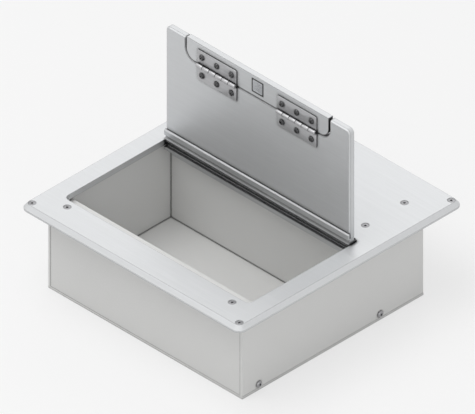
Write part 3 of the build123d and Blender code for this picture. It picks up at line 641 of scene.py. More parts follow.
@dataclass(frozen=True)
class BlackOxide(Finish):
    """Blackened steel: an oily sheen of uneven gloss, with bare metal on the sharpest corners."""

    bare: Colour

    def paint(self, g: Graph) -> None:
        """Makes the finish's nodes."""
        stains = g.noise(scale=420, detail=4)
        grit = g.noise(scale=3800, detail=2)
        colour = g.toned(stains, self.colour, dark=0.7, light=1.5)
        colour = g.edged(colour, self.bare, reach=0.5 * MM, start=0.1, full=0.6)
        # Painted shade in the socket and next to other parts.
        colour = g.shaded(colour, self.tone(0.2))
        g.surface(colour, g.spread(stains, low=0.2, high=0.32), g.bump(grit, depth=0.01 * MM),
                  Metallic=0.9, Coat_Weight=0.7, Coat_Roughness=0.12, Coat_IOR=1.7)


@dataclass(frozen=True)
class PlatedSteel(Finish):
    """Zinc or nickel plate: faint crystals, so many for each metre, that differ in tone and gloss."""

    crystals: float
    roughness: float

    def paint(self, g: Graph) -> None:
        """Makes the finish's nodes."""
        haze = g.noise(scale=160, detail=4)
        fine = g.noise(scale=3000, detail=2)
        colour = g.toned(g.cells(self.crystals), self.colour, dark=0.88, light=1.06, start=0.0, end=1.0)
        colour = g.veiled(haze, colour, self.tone(0.85), cover=0.5)
        colour = g.edged(colour, self.tone(1.15), reach=0.3 * MM)
        # Painted shade in sockets, gaps and next to other parts.
        colour = g.shaded(colour, self.tone(0.08))
        roughness = g.spread(haze, low=self.roughness - 0.05, high=self.roughness + 0.1)
        g.surface(colour, roughness, g.bump(fine, depth=0.015 * MM), Metallic=0.9)


@dataclass(frozen=True)
class BrushedSteel(Finish):
    """Stainless strip, brushed along its length."""

    roughness: float

    def paint(self, g: Graph) -> None:
        """Makes the finish's nodes."""
        strokes = g.noise(scale=3600, detail=4, grain=Grain.ALONG_X)
        bands = g.noise(scale=700, detail=2, grain=Grain.ALONG_X)
        colour = g.toned(strokes, self.colour, dark=0.82, light=1.1)
        colour = g.veiled(bands, colour, self.tone(0.8), cover=0.4)
        colour = g.edged(colour, self.tone(1.2), reach=0.3 * MM)
        # Painted shade in the knuckle gaps and next to other parts.
        colour = g.shaded(colour, self.tone(0.05), reach=3 * MM, strength=0.97, closed_at=0.5, open_at=0.92)
        roughness = g.spread(strokes, low=self.roughness - 0.08, high=self.roughness + 0.1)
        g.surface(colour, roughness, g.bump(strokes, depth=0.02 * MM), Metallic=0.9)


@dataclass(frozen=True)
class MouldedPlastic(Finish):
    """Moulded plastic with a faint texture, so fine for each metre, and a slight drift in tone."""

    roughness: float
    texture: float = 2400.0

    def paint(self, g: Graph) -> None:
        """Makes the finish's nodes."""
        texture = g.noise(scale=self.texture, detail=2)
        flow = g.noise(scale=30, detail=3)
        colour = g.toned(flow, self.colour, dark=0.95, light=1.02)
        colour = g.veiled(texture, colour, self.tone(0.92), cover=0.3)
        # Painted shade in recesses and next to other parts.
        colour = g.shaded(colour, self.tone(0.15))
        roughness = g.spread(texture, low=self.roughness - 0.05, high=self.roughness + 0.08)
        g.surface(colour, roughness, g.bump(texture, depth=0.02 * MM))


@dataclass(frozen=True)
class MouldedRubber(Finish):
    """Black rubber with a dry bloom and fine pits."""

    bloom: Colour

    def paint(self, g: Graph) -> None:
        """Makes the finish's nodes."""
        bloom = g.noise(scale=140, detail=5)
        pits = g.noise(scale=2600, detail=2)
        colour = g.veiled(bloom, self.colour, self.bloom, cover=0.7)
        # Painted shade in the ribs, hollows and next to other parts.
        colour = g.shaded(colour, self.tone(0.3), reach=1.5 * MM)
        g.surface(colour, g.spread(bloom, low=0.6, high=0.8), g.bump(pits, depth=0.05 * MM))


@dataclass(frozen=True)
class Brass(Finish):
    """Turned brass, a little tarnished."""

    # tarnish: the tarnish's colour, which, much darker, is also the colour of the painted shade.
    tarnish: Colour

    def paint(self, g: Graph) -> None:
        """Makes the finish's nodes."""
        turned = g.noise(scale=3200, detail=2, grain=Grain.ALONG_X)
        tarnish = g.noise(scale=240, detail=4)
        colour = g.veiled(tarnish, self.colour, self.tarnish, cover=0.7)
        colour = g.edged(colour, self.tone(1.15), reach=0.3 * MM)
        # Painted shade in hollows and next to other parts, in a dark tone of the tarnish.
        colour = g.shaded(colour, scaled(self.tarnish, 0.2), reach=1.5 * MM)
        roughness = g.spread(tarnish, low=0.2, high=0.38)
        g.surface(colour, roughness, g.bump(turned, depth=0.015 * MM), Metallic=1.0)


FINISHES = (
    AnodisedAluminium("frame_aluminium", (0.64, 0.65, 0.66)),
    AnodisedAluminium("lid_aluminium", (0.62, 0.63, 0.64)),
    # The groove colour also sets the tone of the hinge's painted shade.
    DrawnAluminium("hinge_aluminium", (0.60, 0.61, 0.62), groove=(0.40, 0.405, 0.41)),
    PowderCoat("coated_steel", (0.72, 0.72, 0.71), thin=(0.64, 0.64, 0.63)),
    PlatedSteel("block_steel", (0.52, 0.52, 0.53), crystals=420, roughness=0.34),
    BlackOxide("dark_screws", (0.022, 0.022, 0.024), bare=(0.42, 0.42, 0.43)),
    PlatedSteel("bright_screws", (0.34, 0.34, 0.35), crystals=900, roughness=0.32),
    BrushedSteel("butt_hinge_steel", (0.50, 0.50, 0.51), roughness=0.40),
    PlatedSteel("magnet", (0.54, 0.55, 0.57), crystals=2200, roughness=0.28),
    MouldedPlastic("outlet_plastic", (0.76, 0.76, 0.74), roughness=0.32),
    MouldedRubber("black_rubber", (0.018, 0.018, 0.018), bloom=(0.05, 0.05, 0.05)),
    Brass("brass", (0.66, 0.47, 0.20), tarnish=(0.42, 0.28, 0.12)),
    PlatedSteel("clip_steel", (0.66, 0.66, 0.66), crystals=600, roughness=0.2),
    MouldedPlastic("terminal_plastic", (0.62, 0.62, 0.58), roughness=0.45, texture=1800),
)


# Hardware


class Head(Enum):
    """The shape of a screw's head."""

    FLAT = "countersunk, a little below the surface"
    DOMED = "a dome that stands on the surface"


@dataclass(frozen=True)
class SocketScrew:
    """A screw with a hexagon socket, modelled once along Z, with the surface that it sits in at height 0.

    Attributes:
        radius: The thread's radius.
        head_radius: The head's radius at height 0.
        length: How far the screw reaches below height 0.
        socket: The socket's width across its flats.
        head_height: How far a domed head stands up.
        sink: How far below height 0 a flat head's top lies.
        rim: How high the straight edge of a flat head is.
        pitch: The distance from one turn of the thread to the next, or 0 where the shank is plain.
        dome_share: The share of a domed head's height that is rounded.
        rim_share: The share of a flat head's rim that is rounded.
        socket_share: The socket's depth, as a share of its width.
        point_share: The taper at the screw's end, as a share of the core's radius.
    """

    head: Head
    radius: float
    head_radius: float
    length: float
    socket: float
    head_height: float = 0.0
    sink: float = 0.4 * MM
    rim: float = 0.1 * MM
    pitch: float = 0.0
    dome_share: float = 0.85
    rim_share: float = 0.8
    socket_share: float = 0.5
    point_share: float = 1 / 3

    def model(self, name: str) -> Piece:
        """Models the screw.

        Args:
            name: The piece's name.

        Returns:
            The screw, standing at the origin.
        """
        domed = self.head is Head.DOMED
        top = self.head_height if domed else -self.sink
        edge_radius = self.head_radius if domed else self.head_radius - self.sink
        core = self.radius - DEPTH_SHARE * self.pitch
        screw = cylinder(name, edge_radius, self.head_height if domed else self.rim, top)
        with editing(screw):
            pick_faces(screw, DOWN)
            if domed:
                bpy.ops.mesh.inset(thickness=edge_radius - core)
                start = 0.0
            else:
                reach(screw, edge_radius - core, edge_radius, core)
                start = self.sink + self.rim + edge_radius - core
            taper = core * self.point_share
            reach(screw, self.length - start - taper, core, core)
            reach(screw, taper, core, core - taper)
            if domed:
                bevel_top(screw, top, self.head_height * self.dome_share, segments=8)
            else:
                bevel_top(screw, top, self.rim * self.rim_share, segments=2)
        depth = self.socket_share * self.socket
        cut(screw, cylinder("socket", hexagon_radius(self.socket), 2 * depth, top + depth, sides=6))
        if self.pitch:
            join(screw, thread(self.radius, self.pitch, -start, self.length - start - taper))
        smooth(screw)
        return screw


@dataclass(frozen=True)
class HexagonNut:
    """A chamfered hexagon nut standing on height 0 with its hole along Z.

    Attributes:
        flats: The width across the flats.
        bore: The hole's radius.
        flat_share: The radius of the flat ends, as a share of the width across the flats.
    """

    flats: float
    height: float
    bore: float
    bore_chamfer: float = 0.25 * MM
    flat_share: float = 0.48
    smooth_angle: float = radians(25)

    def model(self, name: str) -> Piece:
        """Models the nut.

        Args:
            name: The piece's name.

        Returns:
            The nut, standing at the origin.
        """
        corner = hexagon_radius(self.flats)
        nut = cylinder(name, corner, self.height, self.height, sides=6)
        rounder = cylinder("rounder", corner, self.height, self.height, sides=48)
        with editing(rounder):
            pick_edges(rounder, lambda a, b: abs(a.z - b.z) < MERGE)
            bevel(corner - self.flat_share * self.flats)
        cut(nut, rounder, "INTERSECT")
        cut(nut, cylinder("bore", self.bore, 3 * self.height, 2 * self.height))
        hole = self.bore + 10 * MERGE
        with editing(nut):
            pick_edges(nut, lambda a, b: abs(a.z - b.z) < MERGE and max(a.xy.length, b.xy.length) < hole)
            bevel(self.bore_chamfer)
        smooth(nut, self.smooth_angle)
        return nut


@dataclass(frozen=True)
class Solid:
    """The box around one separate solid of a node."""

    low: Vector
    high: Vector

    @property
    def middle(self) -> Vector:
        """The box's middle."""
        return (self.low + self.high) / 2

    def seat(self, facing: Vector, standing: float = 0.0) -> Vector:
        """The middle of the side that faces a way, taken back by how far the piece stands out."""
        half = (self.high - self.low) / 2
        out = sum(abs(facing[axis]) * half[axis] for axis in range(3))
        return self.middle + facing * (out - standing)


def solids(node: str) -> list[Solid]:
    """The boxes of a node's separate solids, from left to right and then from front to back.

    Args:
        node: The node's name.

    Returns:
        One box for each solid.
    """
    mesh = bmesh.new()
    mesh.from_mesh(frame["nodes"][node].data)
    bmesh.ops.remove_doubles(mesh, verts=mesh.verts, dist=MERGE)
    found, left = [], set(mesh.verts)
    while left:
        shell, waiting = [], [left.pop()]
        while waiting:
            vertex = waiting.pop()
            shell.append(vertex.co.copy())
            for edge in vertex.link_edges:
                other = edge.other_vert(vertex)
                if other in left:
                    left.remove(other)
                    waiting.append(other)
        low = Vector([min(point[axis] for point in shell) for axis in range(3)])
        high = Vector([max(point[axis] for point in shell) for axis in range(3)])
        found.append(Solid(low, high))
    mesh.free()
    return sorted(found, key=lambda solid: (round(solid.middle.x, 5), round(solid.middle.y, 5)))


# Sub-assemblies


@dataclass
class SubAssembly:
    """What the sub-assemblies share: the finishes, and how a node of the frame is rounded and dressed.

    Attributes:
        finishes: Every finish's material, by the name of its slot.
        flat_angle: Faces that meet at less than this angle are one flat face.
        edge_angle: Edges sharper than this angle are rounded.
        long_edge: Edges at least as long as this count as long.
        spin: How far each screw is turned from the one before it, in radians.
    """

    finishes: dict[str, bpy.types.Material]
    flat_angle: float = radians(0.4)
    edge_angle: float = radians(35)
    long_edge: float = 60 * MM
    long_segments: int = 3
    spin: float = 0.7

    def add(self, piece: Piece, body: str, slot: str, *nodes: str) -> Piece:
        """Dresses a finished piece, lets it ride on a body and hides the nodes that it stands for.

        Args:
            piece: The finished piece.
            body: The body that it moves with.
            slot: The finish's slot.
            nodes: The nodes that aren't shown any more.

        Returns:
            The same piece.
        """
        piece.data.materials.clear()
        piece.data.materials.append(self.finishes[slot])
        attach(piece, body)
        if nodes:
            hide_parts(*nodes)
        log.info("%s: %d faces on %s", piece.name, len(piece.data.polygons), body)
        return piece

    def stand_in(self, piece: Piece, node: str, slot: str = "") -> Piece:
        """Adds a finished piece that stands for one node, with the node's own finish or another."""
        return self.add(piece, NODE_BODIES[node], slot or NODE_SLOTS[node], node)

    def rounded(self, node: str, width: float, segments: int = 2, long_width: float = 0.0) -> Piece:
        """Copies a node, rounds the copy's edges and lets it stand for the node.

        Args:
            node: The node's name.
            width: How wide an edge's rounding is, in metres.
            segments: How many faces the rounding has.
            long_width: A wider rounding for the long outer edges, or 0 for none.

        Returns:
            The rounded piece.
        """
        source = frame["nodes"][node]
        piece = bpy.data.objects.new(f"{node}_rounded", source.data.copy())
        bpy.context.scene.collection.objects.link(piece)
        tidy_mesh(piece, self.flat_angle)
        focus(piece)
        if piece.data.has_custom_normals:
            bpy.ops.mesh.customdata_custom_splitnormals_clear()
        if long_width:
            with editing(piece):
                pick_sharp_edges(piece, self.edge_angle, self.long_edge)
                bevel(long_width, self.long_segments)
        apply_modifier(piece, "BEVEL", width=width, segments=segments, limit_method="ANGLE",
                       angle_limit=self.edge_angle, use_clamp_overlap=True, miter_outer="MITER_ARC")
        smooth(piece)
        apply_modifier(piece, "WEIGHTED_NORMAL", keep_sharp=True, mode="FACE_AREA")
        return self.stand_in(piece, node)

    def fasteners(self, node: str, fastener: "SocketScrew | HexagonNut", facing: Triple,
                  mirrored: bool = False, slot: str = "") -> Piece:
        """Models one screw or nut and puts a copy in the place of each of a node's solids.

        Args:
            node: The node that the copies stand for.
            fastener: The screw or nut.
            facing: The way that a screw's head, or a nut's free end, faces.
            mirrored: Whether those on the left face the other way along X.
            slot: The finish's slot, where it isn't the node's own.

        Returns:
            One piece that holds all the copies.
        """
        nuts = isinstance(fastener, HexagonNut)
        standing = fastener.height if nuts else fastener.head_height
        places = []
        for index, solid in enumerate(solids(node)):
            way = Vector(facing)
            if mirrored and solid.middle.x < 0:
                way.x = -way.x
            places.append(Matrix.Translation(solid.seat(way, standing))
                          @ way.to_track_quat("Z", "Y").to_matrix().to_4x4()
                          @ Matrix.Rotation(tau / 12 if nuts else self.spin * index, 4, "Z"))
        name = f"{node}_modelled"
        return self.stand_in(copies(fastener.model(name), places, name), node, slot)


NODE_SLOTS = {part["node"]: part["material_slot"] for part in frame["record"]["subparts"]}
NODE_BODIES = {
    node: body for body, nodes in frame["record"]["behaviour"]["bodies"].items() for node in nodes
}


@dataclass
class FramePlate(SubAssembly):
    """The bevelled plate that lies on the floor, with its countersunk screws."""

    edge: float = 0.35 * MM
    floor_screw: SocketScrew = SocketScrew(
        Head.FLAT, radius=2.5 * MM, head_radius=4.9 * MM, length=14 * MM, socket=3 * MM, pitch=0.8 * MM)
    frame_screw: SocketScrew = replace(floor_screw, length=16 * MM)
    nut: HexagonNut = HexagonNut(flats=8 * MM, height=4 * MM, bore=2.5 * MM)

    def build(self) -> None:
        """Rounds the plate's edges and models its screws and nuts."""
        self.rounded("frame_plate", self.edge, segments=3)
        for node, screw in (("floor_screws", self.floor_screw), ("frame_screws", self.frame_screw)):
            self.fasteners(node, screw, UP, slot="bright_screws")
        self.fasteners("frame_screw_nuts", self.nut, DOWN)


@dataclass
class SheetBox(SubAssembly):
    """The box of coated sheet under the frame plate.

    Attributes:
        edge: How wide the rounding of the sheets' short edges and holes is.
        long_edge_width: How wide the rounding of the sheets' long edges is.
    """

    edge: float = 0.2 * MM
    long_edge_width: float = 0.8 * MM
    block_edge: float = 0.5 * MM
    side_screw: SocketScrew = SocketScrew(
        Head.DOMED, radius=2.5 * MM, head_radius=4.4 * MM, length=12 * MM, socket=3 * MM,
        head_height=2.6 * MM)
    base_screw: SocketScrew = SocketScrew(
        Head.FLAT, radius=2.5 * MM, head_radius=4.9 * MM, length=9 * MM, socket=3 * MM)
    buffer_rounding: float = 0.8 * MM
    groove_radius: float = 0.5 * MM
    groove_pitch: float = 2.4 * MM
    groove_count: int = 7

    def build(self) -> None:
        """Rounds the panels, plates and blocks, and models their screws and the buffers."""
        for node in ("front_panel", "rear_panel", "divider_panel", "left_side_plate", "right_side_plate",
                     "base_plate"):
            self.rounded(node, self.edge, long_width=self.long_edge_width)
        self.rounded("corner_blocks", self.block_edge)
        self.fasteners("side_screws", self.side_screw, RIGHT, mirrored=True, slot="bright_screws")
        self.fasteners("base_screws", self.base_screw, DOWN)
        self.buffers()

    def buffers(self) -> None:
        """Models the ribbed rubber buffers on the ledge."""
        first, second = solids("lid_buffers")
        buffer = block("buffer", first.low, first.high)
        with editing(buffer):
            pick_edges(buffer, lambda a, b: True)
            bevel(self.buffer_rounding, segments=3)
        long = 2 * (first.high.y - first.low.y)
        groove = cylinder("groove", self.groove_radius, long, long / 2, sides=12)
        groove.rotation_euler.x = tau / 4
        start = first.middle.x - self.groove_pitch * (self.groove_count - 1) / 2
        groove.location = (start, first.middle.y, first.high.z)
        settle(groove)
        apply_modifier(groove, "ARRAY", count=self.groove_count, use_relative_offset=False,
                       use_constant_offset=True, constant_offset_displace=(self.groove_pitch, 0, 0))
        cut(buffer, groove)
        smooth(buffer)
        places = [Matrix.Identity(4), Matrix.Translation(second.middle - first.middle)]
        self.stand_in(copies(buffer, places, "lid_buffers_modelled"), "lid_buffers")


@dataclass
class GearedHinge(SubAssembly):
    """The lid's hinge: two toothed leaves held together by a cap.

    Attributes:
        frame_leaf_screw: The screw through the frame leaf and the divider.
        lid_leaf_screw: The screw through the lid into its leaf.
    """

    edge: float = 0.12 * MM
    frame_leaf_screw: SocketScrew = SocketScrew(
        Head.FLAT, radius=2 * MM, head_radius=3.7 * MM, length=9 * MM, socket=2.5 * MM, pitch=0.7 * MM)
    lid_leaf_screw: SocketScrew = replace(frame_leaf_screw, length=9.8 * MM, pitch=0.0)
    nut: HexagonNut = HexagonNut(flats=7 * MM, height=3.2 * MM, bore=2 * MM)

    def build(self) -> None:
        """Rounds the teeth and the leaves, and models their screws and nuts."""
        for node in ("hinge_frame_leaf", "hinge_lid_leaf", "hinge_cap"):
            self.rounded(node, self.edge)
        self.fasteners("hinge_frame_leaf_screws", self.frame_leaf_screw, FORWARD)
        self.fasteners("hinge_frame_leaf_nuts", self.nut, BACK)
        self.fasteners("hinge_lid_leaf_screws", self.lid_leaf_screw, BACK)


@dataclass
class Lid(SubAssembly):
    """The lid plate with the flap in its free edge, and the flap's magnet pad.

    Attributes:
        pad_sink: How deep the pad's face lies in its rim.
        shade_ring_play: How far the dark ring of painted shade reaches past the pad's own edge, into the gap
            around it.
        shade_ring_clearance: The clearance between the pad and that ring.
    """

    edge: float = 0.15 * MM
    pad_corner: float = 1.4 * MM
    pad_rim: float = 0.9 * MM
    pad_sink: float = 0.2 * MM
    shade_ring_width: float = 1.1 * MM
    shade_ring_play: float = 0.3 * MM
    rim_rounding: float = 0.25 * MM
    shade_ring_clearance: float = 0.05 * MM

    def build(self) -> None:
        """Rounds both plates and models the pad."""
        for node in ("lid_plate", "flap_plate"):
            self.rounded(node, self.edge, segments=3)
        self.pad()

    def pad(self) -> None:
        """Models the square magnet pad with its thin raised rim, and a black rubber ring round it that
        stands in for the shade in the gap around the pad.
        """
        low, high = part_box("magnet_pad")
        across = Vector((1, 0, 1))
        inside = across * self.shade_ring_width
        pad = self.plate("magnet_pad_modelled", low + inside, high - inside)
        with editing(pad):
            pick_faces(pad, FORWARD)
            bpy.ops.mesh.inset(thickness=self.pad_rim)
            bpy.ops.mesh.inset(thickness=self.pad_sink, depth=-self.pad_sink)
        smooth(pad)
        self.stand_in(pad, "magnet_pad")
        # Painted shade as a part: a black rubber ring where the gap around the pad is only shade, which
        # gives the pad a dark outline.
        outside = across * self.shade_ring_play
        shade_ring = self.plate("magnet_pad_surround", low - outside, high + outside)
        inside = across * (self.shade_ring_width + self.shade_ring_clearance)
        past = Vector(BACK) * MM
        cut(shade_ring, block("pad_hole", low + inside - past, high - inside + past))
        smooth(shade_ring)
        self.add(shade_ring, NODE_BODIES["magnet_pad"], "black_rubber")

    def plate(self, name: str, low: Vector, high: Vector) -> Piece:
        """Models a plate that faces forward, with rounded corners and a softened front rim.

        Args:
            name: The piece's name.
            low: The corner with the lowest coordinates.
            high: The corner across from that one.

        Returns:
            The plate.
        """
        plate = block(name, low, high)
        with editing(plate):
            pick_edges(plate, lambda a, b: abs(a.y - b.y) > MERGE)
            bevel(self.pad_corner, segments=4)
            bevel_front(plate, self.rim_rounding, segments=3)
        return plate


@dataclass
class ButtHinges(SubAssembly):
    """The flap's two butt hinges and their domed screws.

    Attributes:
        knuckle_count: How many knuckles both leaves have together.
        leaf_gap: How far a leaf's straight edge stays from the other leaf's knuckles.
        overlap: How far a tongue reaches into its leaf, past the rounding of the leaf's edge.
    """

    edge: float = 0.25 * MM
    corner: float = 1.0 * MM
    leaf_thickness: float = 1.5 * MM
    barrel_radius: float = 2.7 * MM
    barrel_end: float = 0.8 * MM
    knuckle_count: int = 6
    knuckle_gap: float = 0.2 * MM
    leaf_gap: float = 0.3 * MM
    overlap: float = 0.1 * MM
    screw: SocketScrew = SocketScrew(
        Head.DOMED, radius=2 * MM, head_radius=4 * MM, length=7.6 * MM, socket=2.5 * MM,
        head_height=2.2 * MM)

    def build(self) -> None:
        """Models the leaves, and their pins and screws."""
        for side in ("left", "right"):
            self.leaf(f"{side}_butt_flap_leaf", first=0, up=1)
            self.leaf(f"{side}_butt_lid_leaf", first=1, up=-1)
            self.rounded(f"{side}_butt_pin", self.edge)
        for node in ("butt_flap_screws", "butt_lid_screws"):
            self.fasteners(node, self.screw, FORWARD)

    def leaf(self, node: str, first: int, up: int) -> None:
        """Models one leaf: a plate, a tongue to each of its knuckles, and the rolled knuckles.

        Args:
            node: The leaf's node.
            first: The place of its first knuckle in the row.
            up: 1 where the leaf stands above the pin and -1 where it hangs below.
        """
        low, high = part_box(node)
        back, front = high.y, high.y - self.leaf_thickness
        pin_y = low.y + self.barrel_radius
        pin_z = low.z + self.barrel_radius if up > 0 else high.z - self.barrel_radius
        start = pin_z + up * (self.barrel_radius + self.leaf_gap)
        end = high.z if up > 0 else low.z
        ends = sorted((start, end))
        plate = block(f"{node}_modelled", Vector((low.x, front, ends[0])), Vector((high.x, back, ends[1])))
        with editing(plate):
            pick_edges(plate, lambda a, b: abs(a.y - b.y) > MERGE and abs(a.z - end) < MERGE)
            bevel(self.corner, segments=4)
            bevel_front(plate, self.edge, segments=2)
        pitch = (high.x - low.x) / self.knuckle_count
        half = (pitch - self.knuckle_gap) / 2
        ends = sorted((pin_z, start + up * (self.edge + self.overlap)))
        for index in range(first, self.knuckle_count, 2):
            x = low.x + pitch * (index + 0.5)
            tongue = block("tongue", Vector((x - half + self.barrel_end, front, ends[0])),
                           Vector((x + half - self.barrel_end, back, ends[1])))
            barrel = cylinder("barrel", self.barrel_radius, 2 * half, half)
            with editing(barrel):
                pick_edges(barrel, lambda a, b: abs(a.z - b.z) < MERGE)
                bevel(self.barrel_end, segments=3)
            barrel.rotation_euler.y = tau / 4
            barrel.location = (x, pin_y, pin_z)
            settle(barrel)
            join(plate, tongue, barrel)
        smooth(plate)
        self.stand_in(plate, node)


@dataclass
class SocketBank(SubAssembly):
    """The panel of outlets along the right side.

    Attributes:
        rosette_step: How wide and deep the step inside the rim is.
        shutter_depth: How deep the shutter lies under the recess's floor.
        slot_reach: Half the slot's length, as a share of the screw's radius.
    """

    edge: float = 0.3 * MM
    clip_edge: float = 0.15 * MM
    foot_screw: SocketScrew = replace(ButtHinges.screw, length=2 * MM)
    recess_depth: float = 17 * MM
    rosette_radius: float = 17.6 * MM
    rosette_height: float = 0.8 * MM
    rosette_rim: float = 1.5 * MM
    rosette_step: float = 0.3 * MM
    pin_spacing: float = 19 * MM
    pin_hole_radius: float = 2.6 * MM
    shutter_play: float = 0.1 * MM
    shutter_depth: float = 0.6 * MM
    screw_radius: float = 2.4 * MM
    screw_rounding: float = 0.6 * MM
    slot_width: float = 0.7 * MM
    slot_depth: float = 0.6 * MM
    slot_reach: float = 1.2

    def build(self) -> None:
        """Rounds the panel and the modules, and models what the recesses hold."""
        outlets = ("socket_outlet_1", "socket_outlet_2", "socket_outlet_3")
        for node in ("socket_panel", *outlets, "blank_module", "socket_contacts"):
            self.rounded(node, self.edge)
        self.rounded("earth_clips", self.clip_edge)
        self.fasteners("socket_panel_screws", self.foot_screw, UP)
        turn = Vector(LEFT).to_track_quat("Z", "Y").to_matrix().to_4x4()
        places = []
        for node in outlets:
            low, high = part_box(node)
            middle = (low + high) / 2
            middle.x = low.x + self.recess_depth
            places.append(Matrix.Translation(middle) @ turn)
        for name, piece, slot in (("outlet_rosettes", self.rosette(), "outlet_plastic"),
                                  ("outlet_centre_screws", self.centre_screw(), "bright_screws")):
            self.add(copies(piece, places, name), NODE_BODIES[outlets[0]], slot)

    def rosette(self) -> Piece:
        """Models the ring on the recess's floor, with the pin holes through it and a shutter in each."""
        top = self.rosette_height
        ring = cylinder("rosette", self.rosette_radius, top, top, sides=64)
        with editing(ring):
            bevel_top(ring, top, top / 2, segments=3)
            pick_faces(ring, UP)
            bpy.ops.mesh.inset(thickness=self.rosette_rim)
            bpy.ops.mesh.inset(thickness=self.rosette_step, depth=-self.rosette_step)
        shutters = []
        for x in (-self.pin_spacing / 2, self.pin_spacing / 2):
            hole = cylinder("hole", self.pin_hole_radius, 2 * MM, 2 * top)
            shutter_radius = self.pin_hole_radius - self.shutter_play
            shutter = cylinder("shutter", shutter_radius, 2 * MM, -self.shutter_depth)
            for piece in (hole, shutter):
                piece.location.x = x
                settle(piece)
            cut(ring, hole)
            shutters.append(shutter)
        join(ring, *shutters)
        smooth(ring)
        return ring

    def centre_screw(self) -> Piece:
        """Models the slotted screw in the recess's middle."""
        top = 2 * self.rosette_height
        screw = cylinder("centre_screw", self.screw_radius, top, top)
        with editing(screw):
            bevel_top(screw, top, self.screw_rounding, segments=4)
        half = Vector((self.screw_radius * self.slot_reach, self.slot_width / 2, self.slot_depth))
        middle = Vector((0, 0, top))
        cut(screw, block("slot", middle - half, middle + half))
        smooth(screw)
        return screw


@dataclass
class WiringCompartment(SubAssembly):
    """What is behind the divider: terminals, earth stud, grommet and plug.

    Attributes:
        stud_lead: How far below the stud's end the thread starts.
    """

    edge: float = 0.4 * MM
    screw_edge: float = 0.15 * MM
    stud_radius: float = 3 * MM
    stud_pitch: float = 1.0 * MM
    stud_chamfer: float = 0.6 * MM
    stud_lead: float = 0.8 * MM
    nut: HexagonNut = HexagonNut(flats=10 * MM, height=5 * MM, bore=3 * MM)

    def build(self) -> None:
        """Rounds the fittings and models the stud and its nuts."""
        for node in ("terminal_block", "cable_grommet", "entry_plug"):
            self.rounded(node, self.edge)
        self.rounded("terminal_screws", self.screw_edge)
        self.stud()
        self.fasteners("earth_nuts", self.nut, UP)

    def stud(self) -> None:
        """Models the threaded earth stud with its chamfered end."""
        place = solids("earth_stud")[0]
        length = place.high.z - place.low.z
        core = self.stud_radius - DEPTH_SHARE * self.stud_pitch
        stud = cylinder("earth_stud_modelled", core, length, length)
        with editing(stud):
            bevel_top(stud, length, self.stud_chamfer)
        start = length - self.stud_lead
        join(stud, thread(self.stud_radius, self.stud_pitch, start, start))
        stud.location = (place.middle.x, place.middle.y, place.low.z)
        settle(stud)
        smooth(stud)
        self.stand_in(stud, "earth_stud")


# Studio


@dataclass(frozen=True)
class Lamp:
    """A soft square lamp that faces the object.

    Attributes:
        size: The length of its side, in metres.
        power: Its power in watts.
    """

    name: str
    place: Triple
    size: float
    power: float

    def hang(self) -> None:
        """Hangs the lamp."""
        data = bpy.data.lights.new(self.name, "AREA")
        data.size = self.size
        data.energy = self.power
        lamp = bpy.data.objects.new(self.name, data)
        bpy.context.scene.collection.objects.link(lamp)
        lamp.location = self.place
        lamp.rotation_euler = Vector(self.place).to_track_quat("Z", "Y").to_euler()


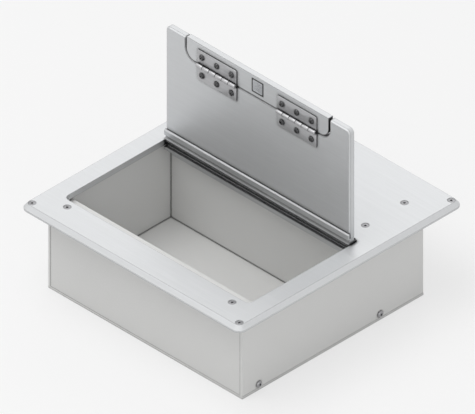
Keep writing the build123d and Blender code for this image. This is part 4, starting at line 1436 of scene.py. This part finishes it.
@dataclass
class Studio:
    """The pale floor, the soft lamps, the surroundings and the camera.

    Attributes:
        view_from: The direction from the object to the camera.
        millimetres_per_pixel: The drawing's scale.
        aim_right: How far right of the frame's middle the camera aims, in metres.
        aim_up: How far above the frame's middle the camera aims, in metres.
        sight: How far the camera sees.
        floor_glow: The share of plain white in the floor as the camera sees it.
        ambient: The strength of the plain light from all around.
    """

    view_from: Vector = field(default_factory=lambda: Vector((1, -1, 1)).normalized())
    millimetres_per_pixel: float = 1.184
    image_width: int = 475
    aim_right: float = -4.97 * MM
    aim_up: float = -6.63 * MM
    distance: float = 2.5
    sight: float = 20.0
    floor_size: float = 12.0
    floor_drop: float = 0.1 * MM
    floor_colour: Colour = (0.80, 0.80, 0.80)
    floor_roughness: float = 0.9
    floor_glow: float = 0.62
    ambient: float = 0.58
    lamps: tuple[Lamp, ...] = (
        Lamp("key_lamp", (-0.6, -0.8, 2.7), size=2.4, power=42.0),
        Lamp("side_lamp", (2.4, -1.2, 0.9), size=1.8, power=8.0),
        Lamp("back_lamp", (-1.4, 2.2, 1.6), size=1.8, power=6.0),
    )

    def build(self) -> None:
        """Sets up the floor, the surroundings, the lamps and the camera."""
        self.floor()
        self.surroundings()
        for lamp in self.lamps:
            lamp.hang()
        self.camera()
        bpy.context.scene.view_settings.view_transform = "Standard"

    def mix(self, tree: bpy.types.NodeTree, end: str, share: Socket,
            lighting: bpy.types.Node, seen: bpy.types.Node) -> None:
        """Mixes two shaders into a tree's end.

        Args:
            tree: The tree that both are in.
            end: The name of the tree's last node.
            share: How much of the second shows.
            lighting: The shader that lights the object.
            seen: The shader that the camera sees.
        """
        mix = add_node(tree, "ShaderNodeMixShader")
        for index, output in enumerate((share, lighting.outputs[0], seen.outputs[0])):
            tree.links.new(output, mix.inputs[index])
        tree.links.new(mix.outputs["Shader"], tree.nodes[end].inputs["Surface"])

    def shown_to_rays(self, tree: bpy.types.NodeTree) -> Socket:
        """1 for rays from the camera, from gloss and through glass."""
        path = add_node(tree, "ShaderNodeLightPath")
        total = path.outputs["Is Camera Ray"]
        for name in ("Is Glossy Ray", "Is Transmission Ray"):
            either = add_node(tree, "ShaderNodeMath", operation="MAXIMUM")
            tree.links.new(total, either.inputs[0])
            tree.links.new(path.outputs[name], either.inputs[1])
            total = either.outputs[0]
        return total

    def floor(self) -> None:
        """Lays the pale floor under the box, lit so that it keeps the shadow and is white elsewhere."""
        bpy.ops.object.select_all(action="DESELECT")
        bpy.ops.mesh.primitive_plane_add(
            size=self.floor_size, location=(0, 0, CAD_BOUNDS[0][2] - self.floor_drop))
        floor = named("floor")
        material = bpy.data.materials.new("pale_floor")
        material.use_nodes = True
        tree = material.node_tree
        shader = tree.nodes["Principled BSDF"]
        set_inputs(shader, Base_Color=(*self.floor_colour, 1.0), Roughness=self.floor_roughness,
                   Specular_IOR_Level=0.0)
        glow = add_node(tree, "ShaderNodeEmission")
        set_inputs(glow, Strength=1.0)
        share = add_node(tree, "ShaderNodeMath", operation="MULTIPLY")
        tree.links.new(self.shown_to_rays(tree), share.inputs[0])
        share.inputs[1].default_value = self.floor_glow
        self.mix(tree, "Material Output", share.outputs[0], shader, glow)
        floor.data.materials.append(material)

    def surroundings(self) -> None:
        """Makes the surroundings: white as seen, and a plain soft light for the object."""
        world = bpy.data.worlds.new("studio")
        bpy.context.scene.world = world
        world.use_nodes = True
        tree = world.node_tree
        seen = tree.nodes["Background"]
        set_inputs(seen, Color=WHITE, Strength=1.0)
        light = add_node(tree, "ShaderNodeBackground")
        set_inputs(light, Color=WHITE, Strength=self.ambient)
        self.mix(tree, "World Output", self.shown_to_rays(tree), light, seen)

    def camera(self) -> None:
        """Places the camera at the drawing's own angle and scale."""
        right = Vector((1, 1, 0)).normalized()
        up = self.view_from.cross(right).normalized()
        middle = Vector((0, 0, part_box("frame_plate")[1].z))
        aim = middle + right * self.aim_right + up * self.aim_up
        data = bpy.data.cameras.new("camera")
        data.type = "ORTHO"
        data.ortho_scale = self.image_width * self.millimetres_per_pixel * MM
        data.clip_end = self.sight
        camera = bpy.data.objects.new("camera", data)
        bpy.context.scene.collection.objects.link(camera)
        camera.location = aim + self.view_from * self.distance
        camera.rotation_euler = self.view_from.to_track_quat("Z", "Y").to_euler()
        bpy.context.scene.camera = camera


def main() -> None:
    """Builds the finishes, the sub-assemblies and the studio in order."""
    logging.basicConfig(level=logging.INFO, format="%(name)s: %(message)s")
    finishes = {finish.name: finish.build() for finish in FINISHES}
    for part in (FramePlate, SheetBox, GearedHinge, Lid, ButtHinges, SocketBank, WiringCompartment):
        part(finishes).build()
    Studio().build()


if __name__ == "__main__":
    main()
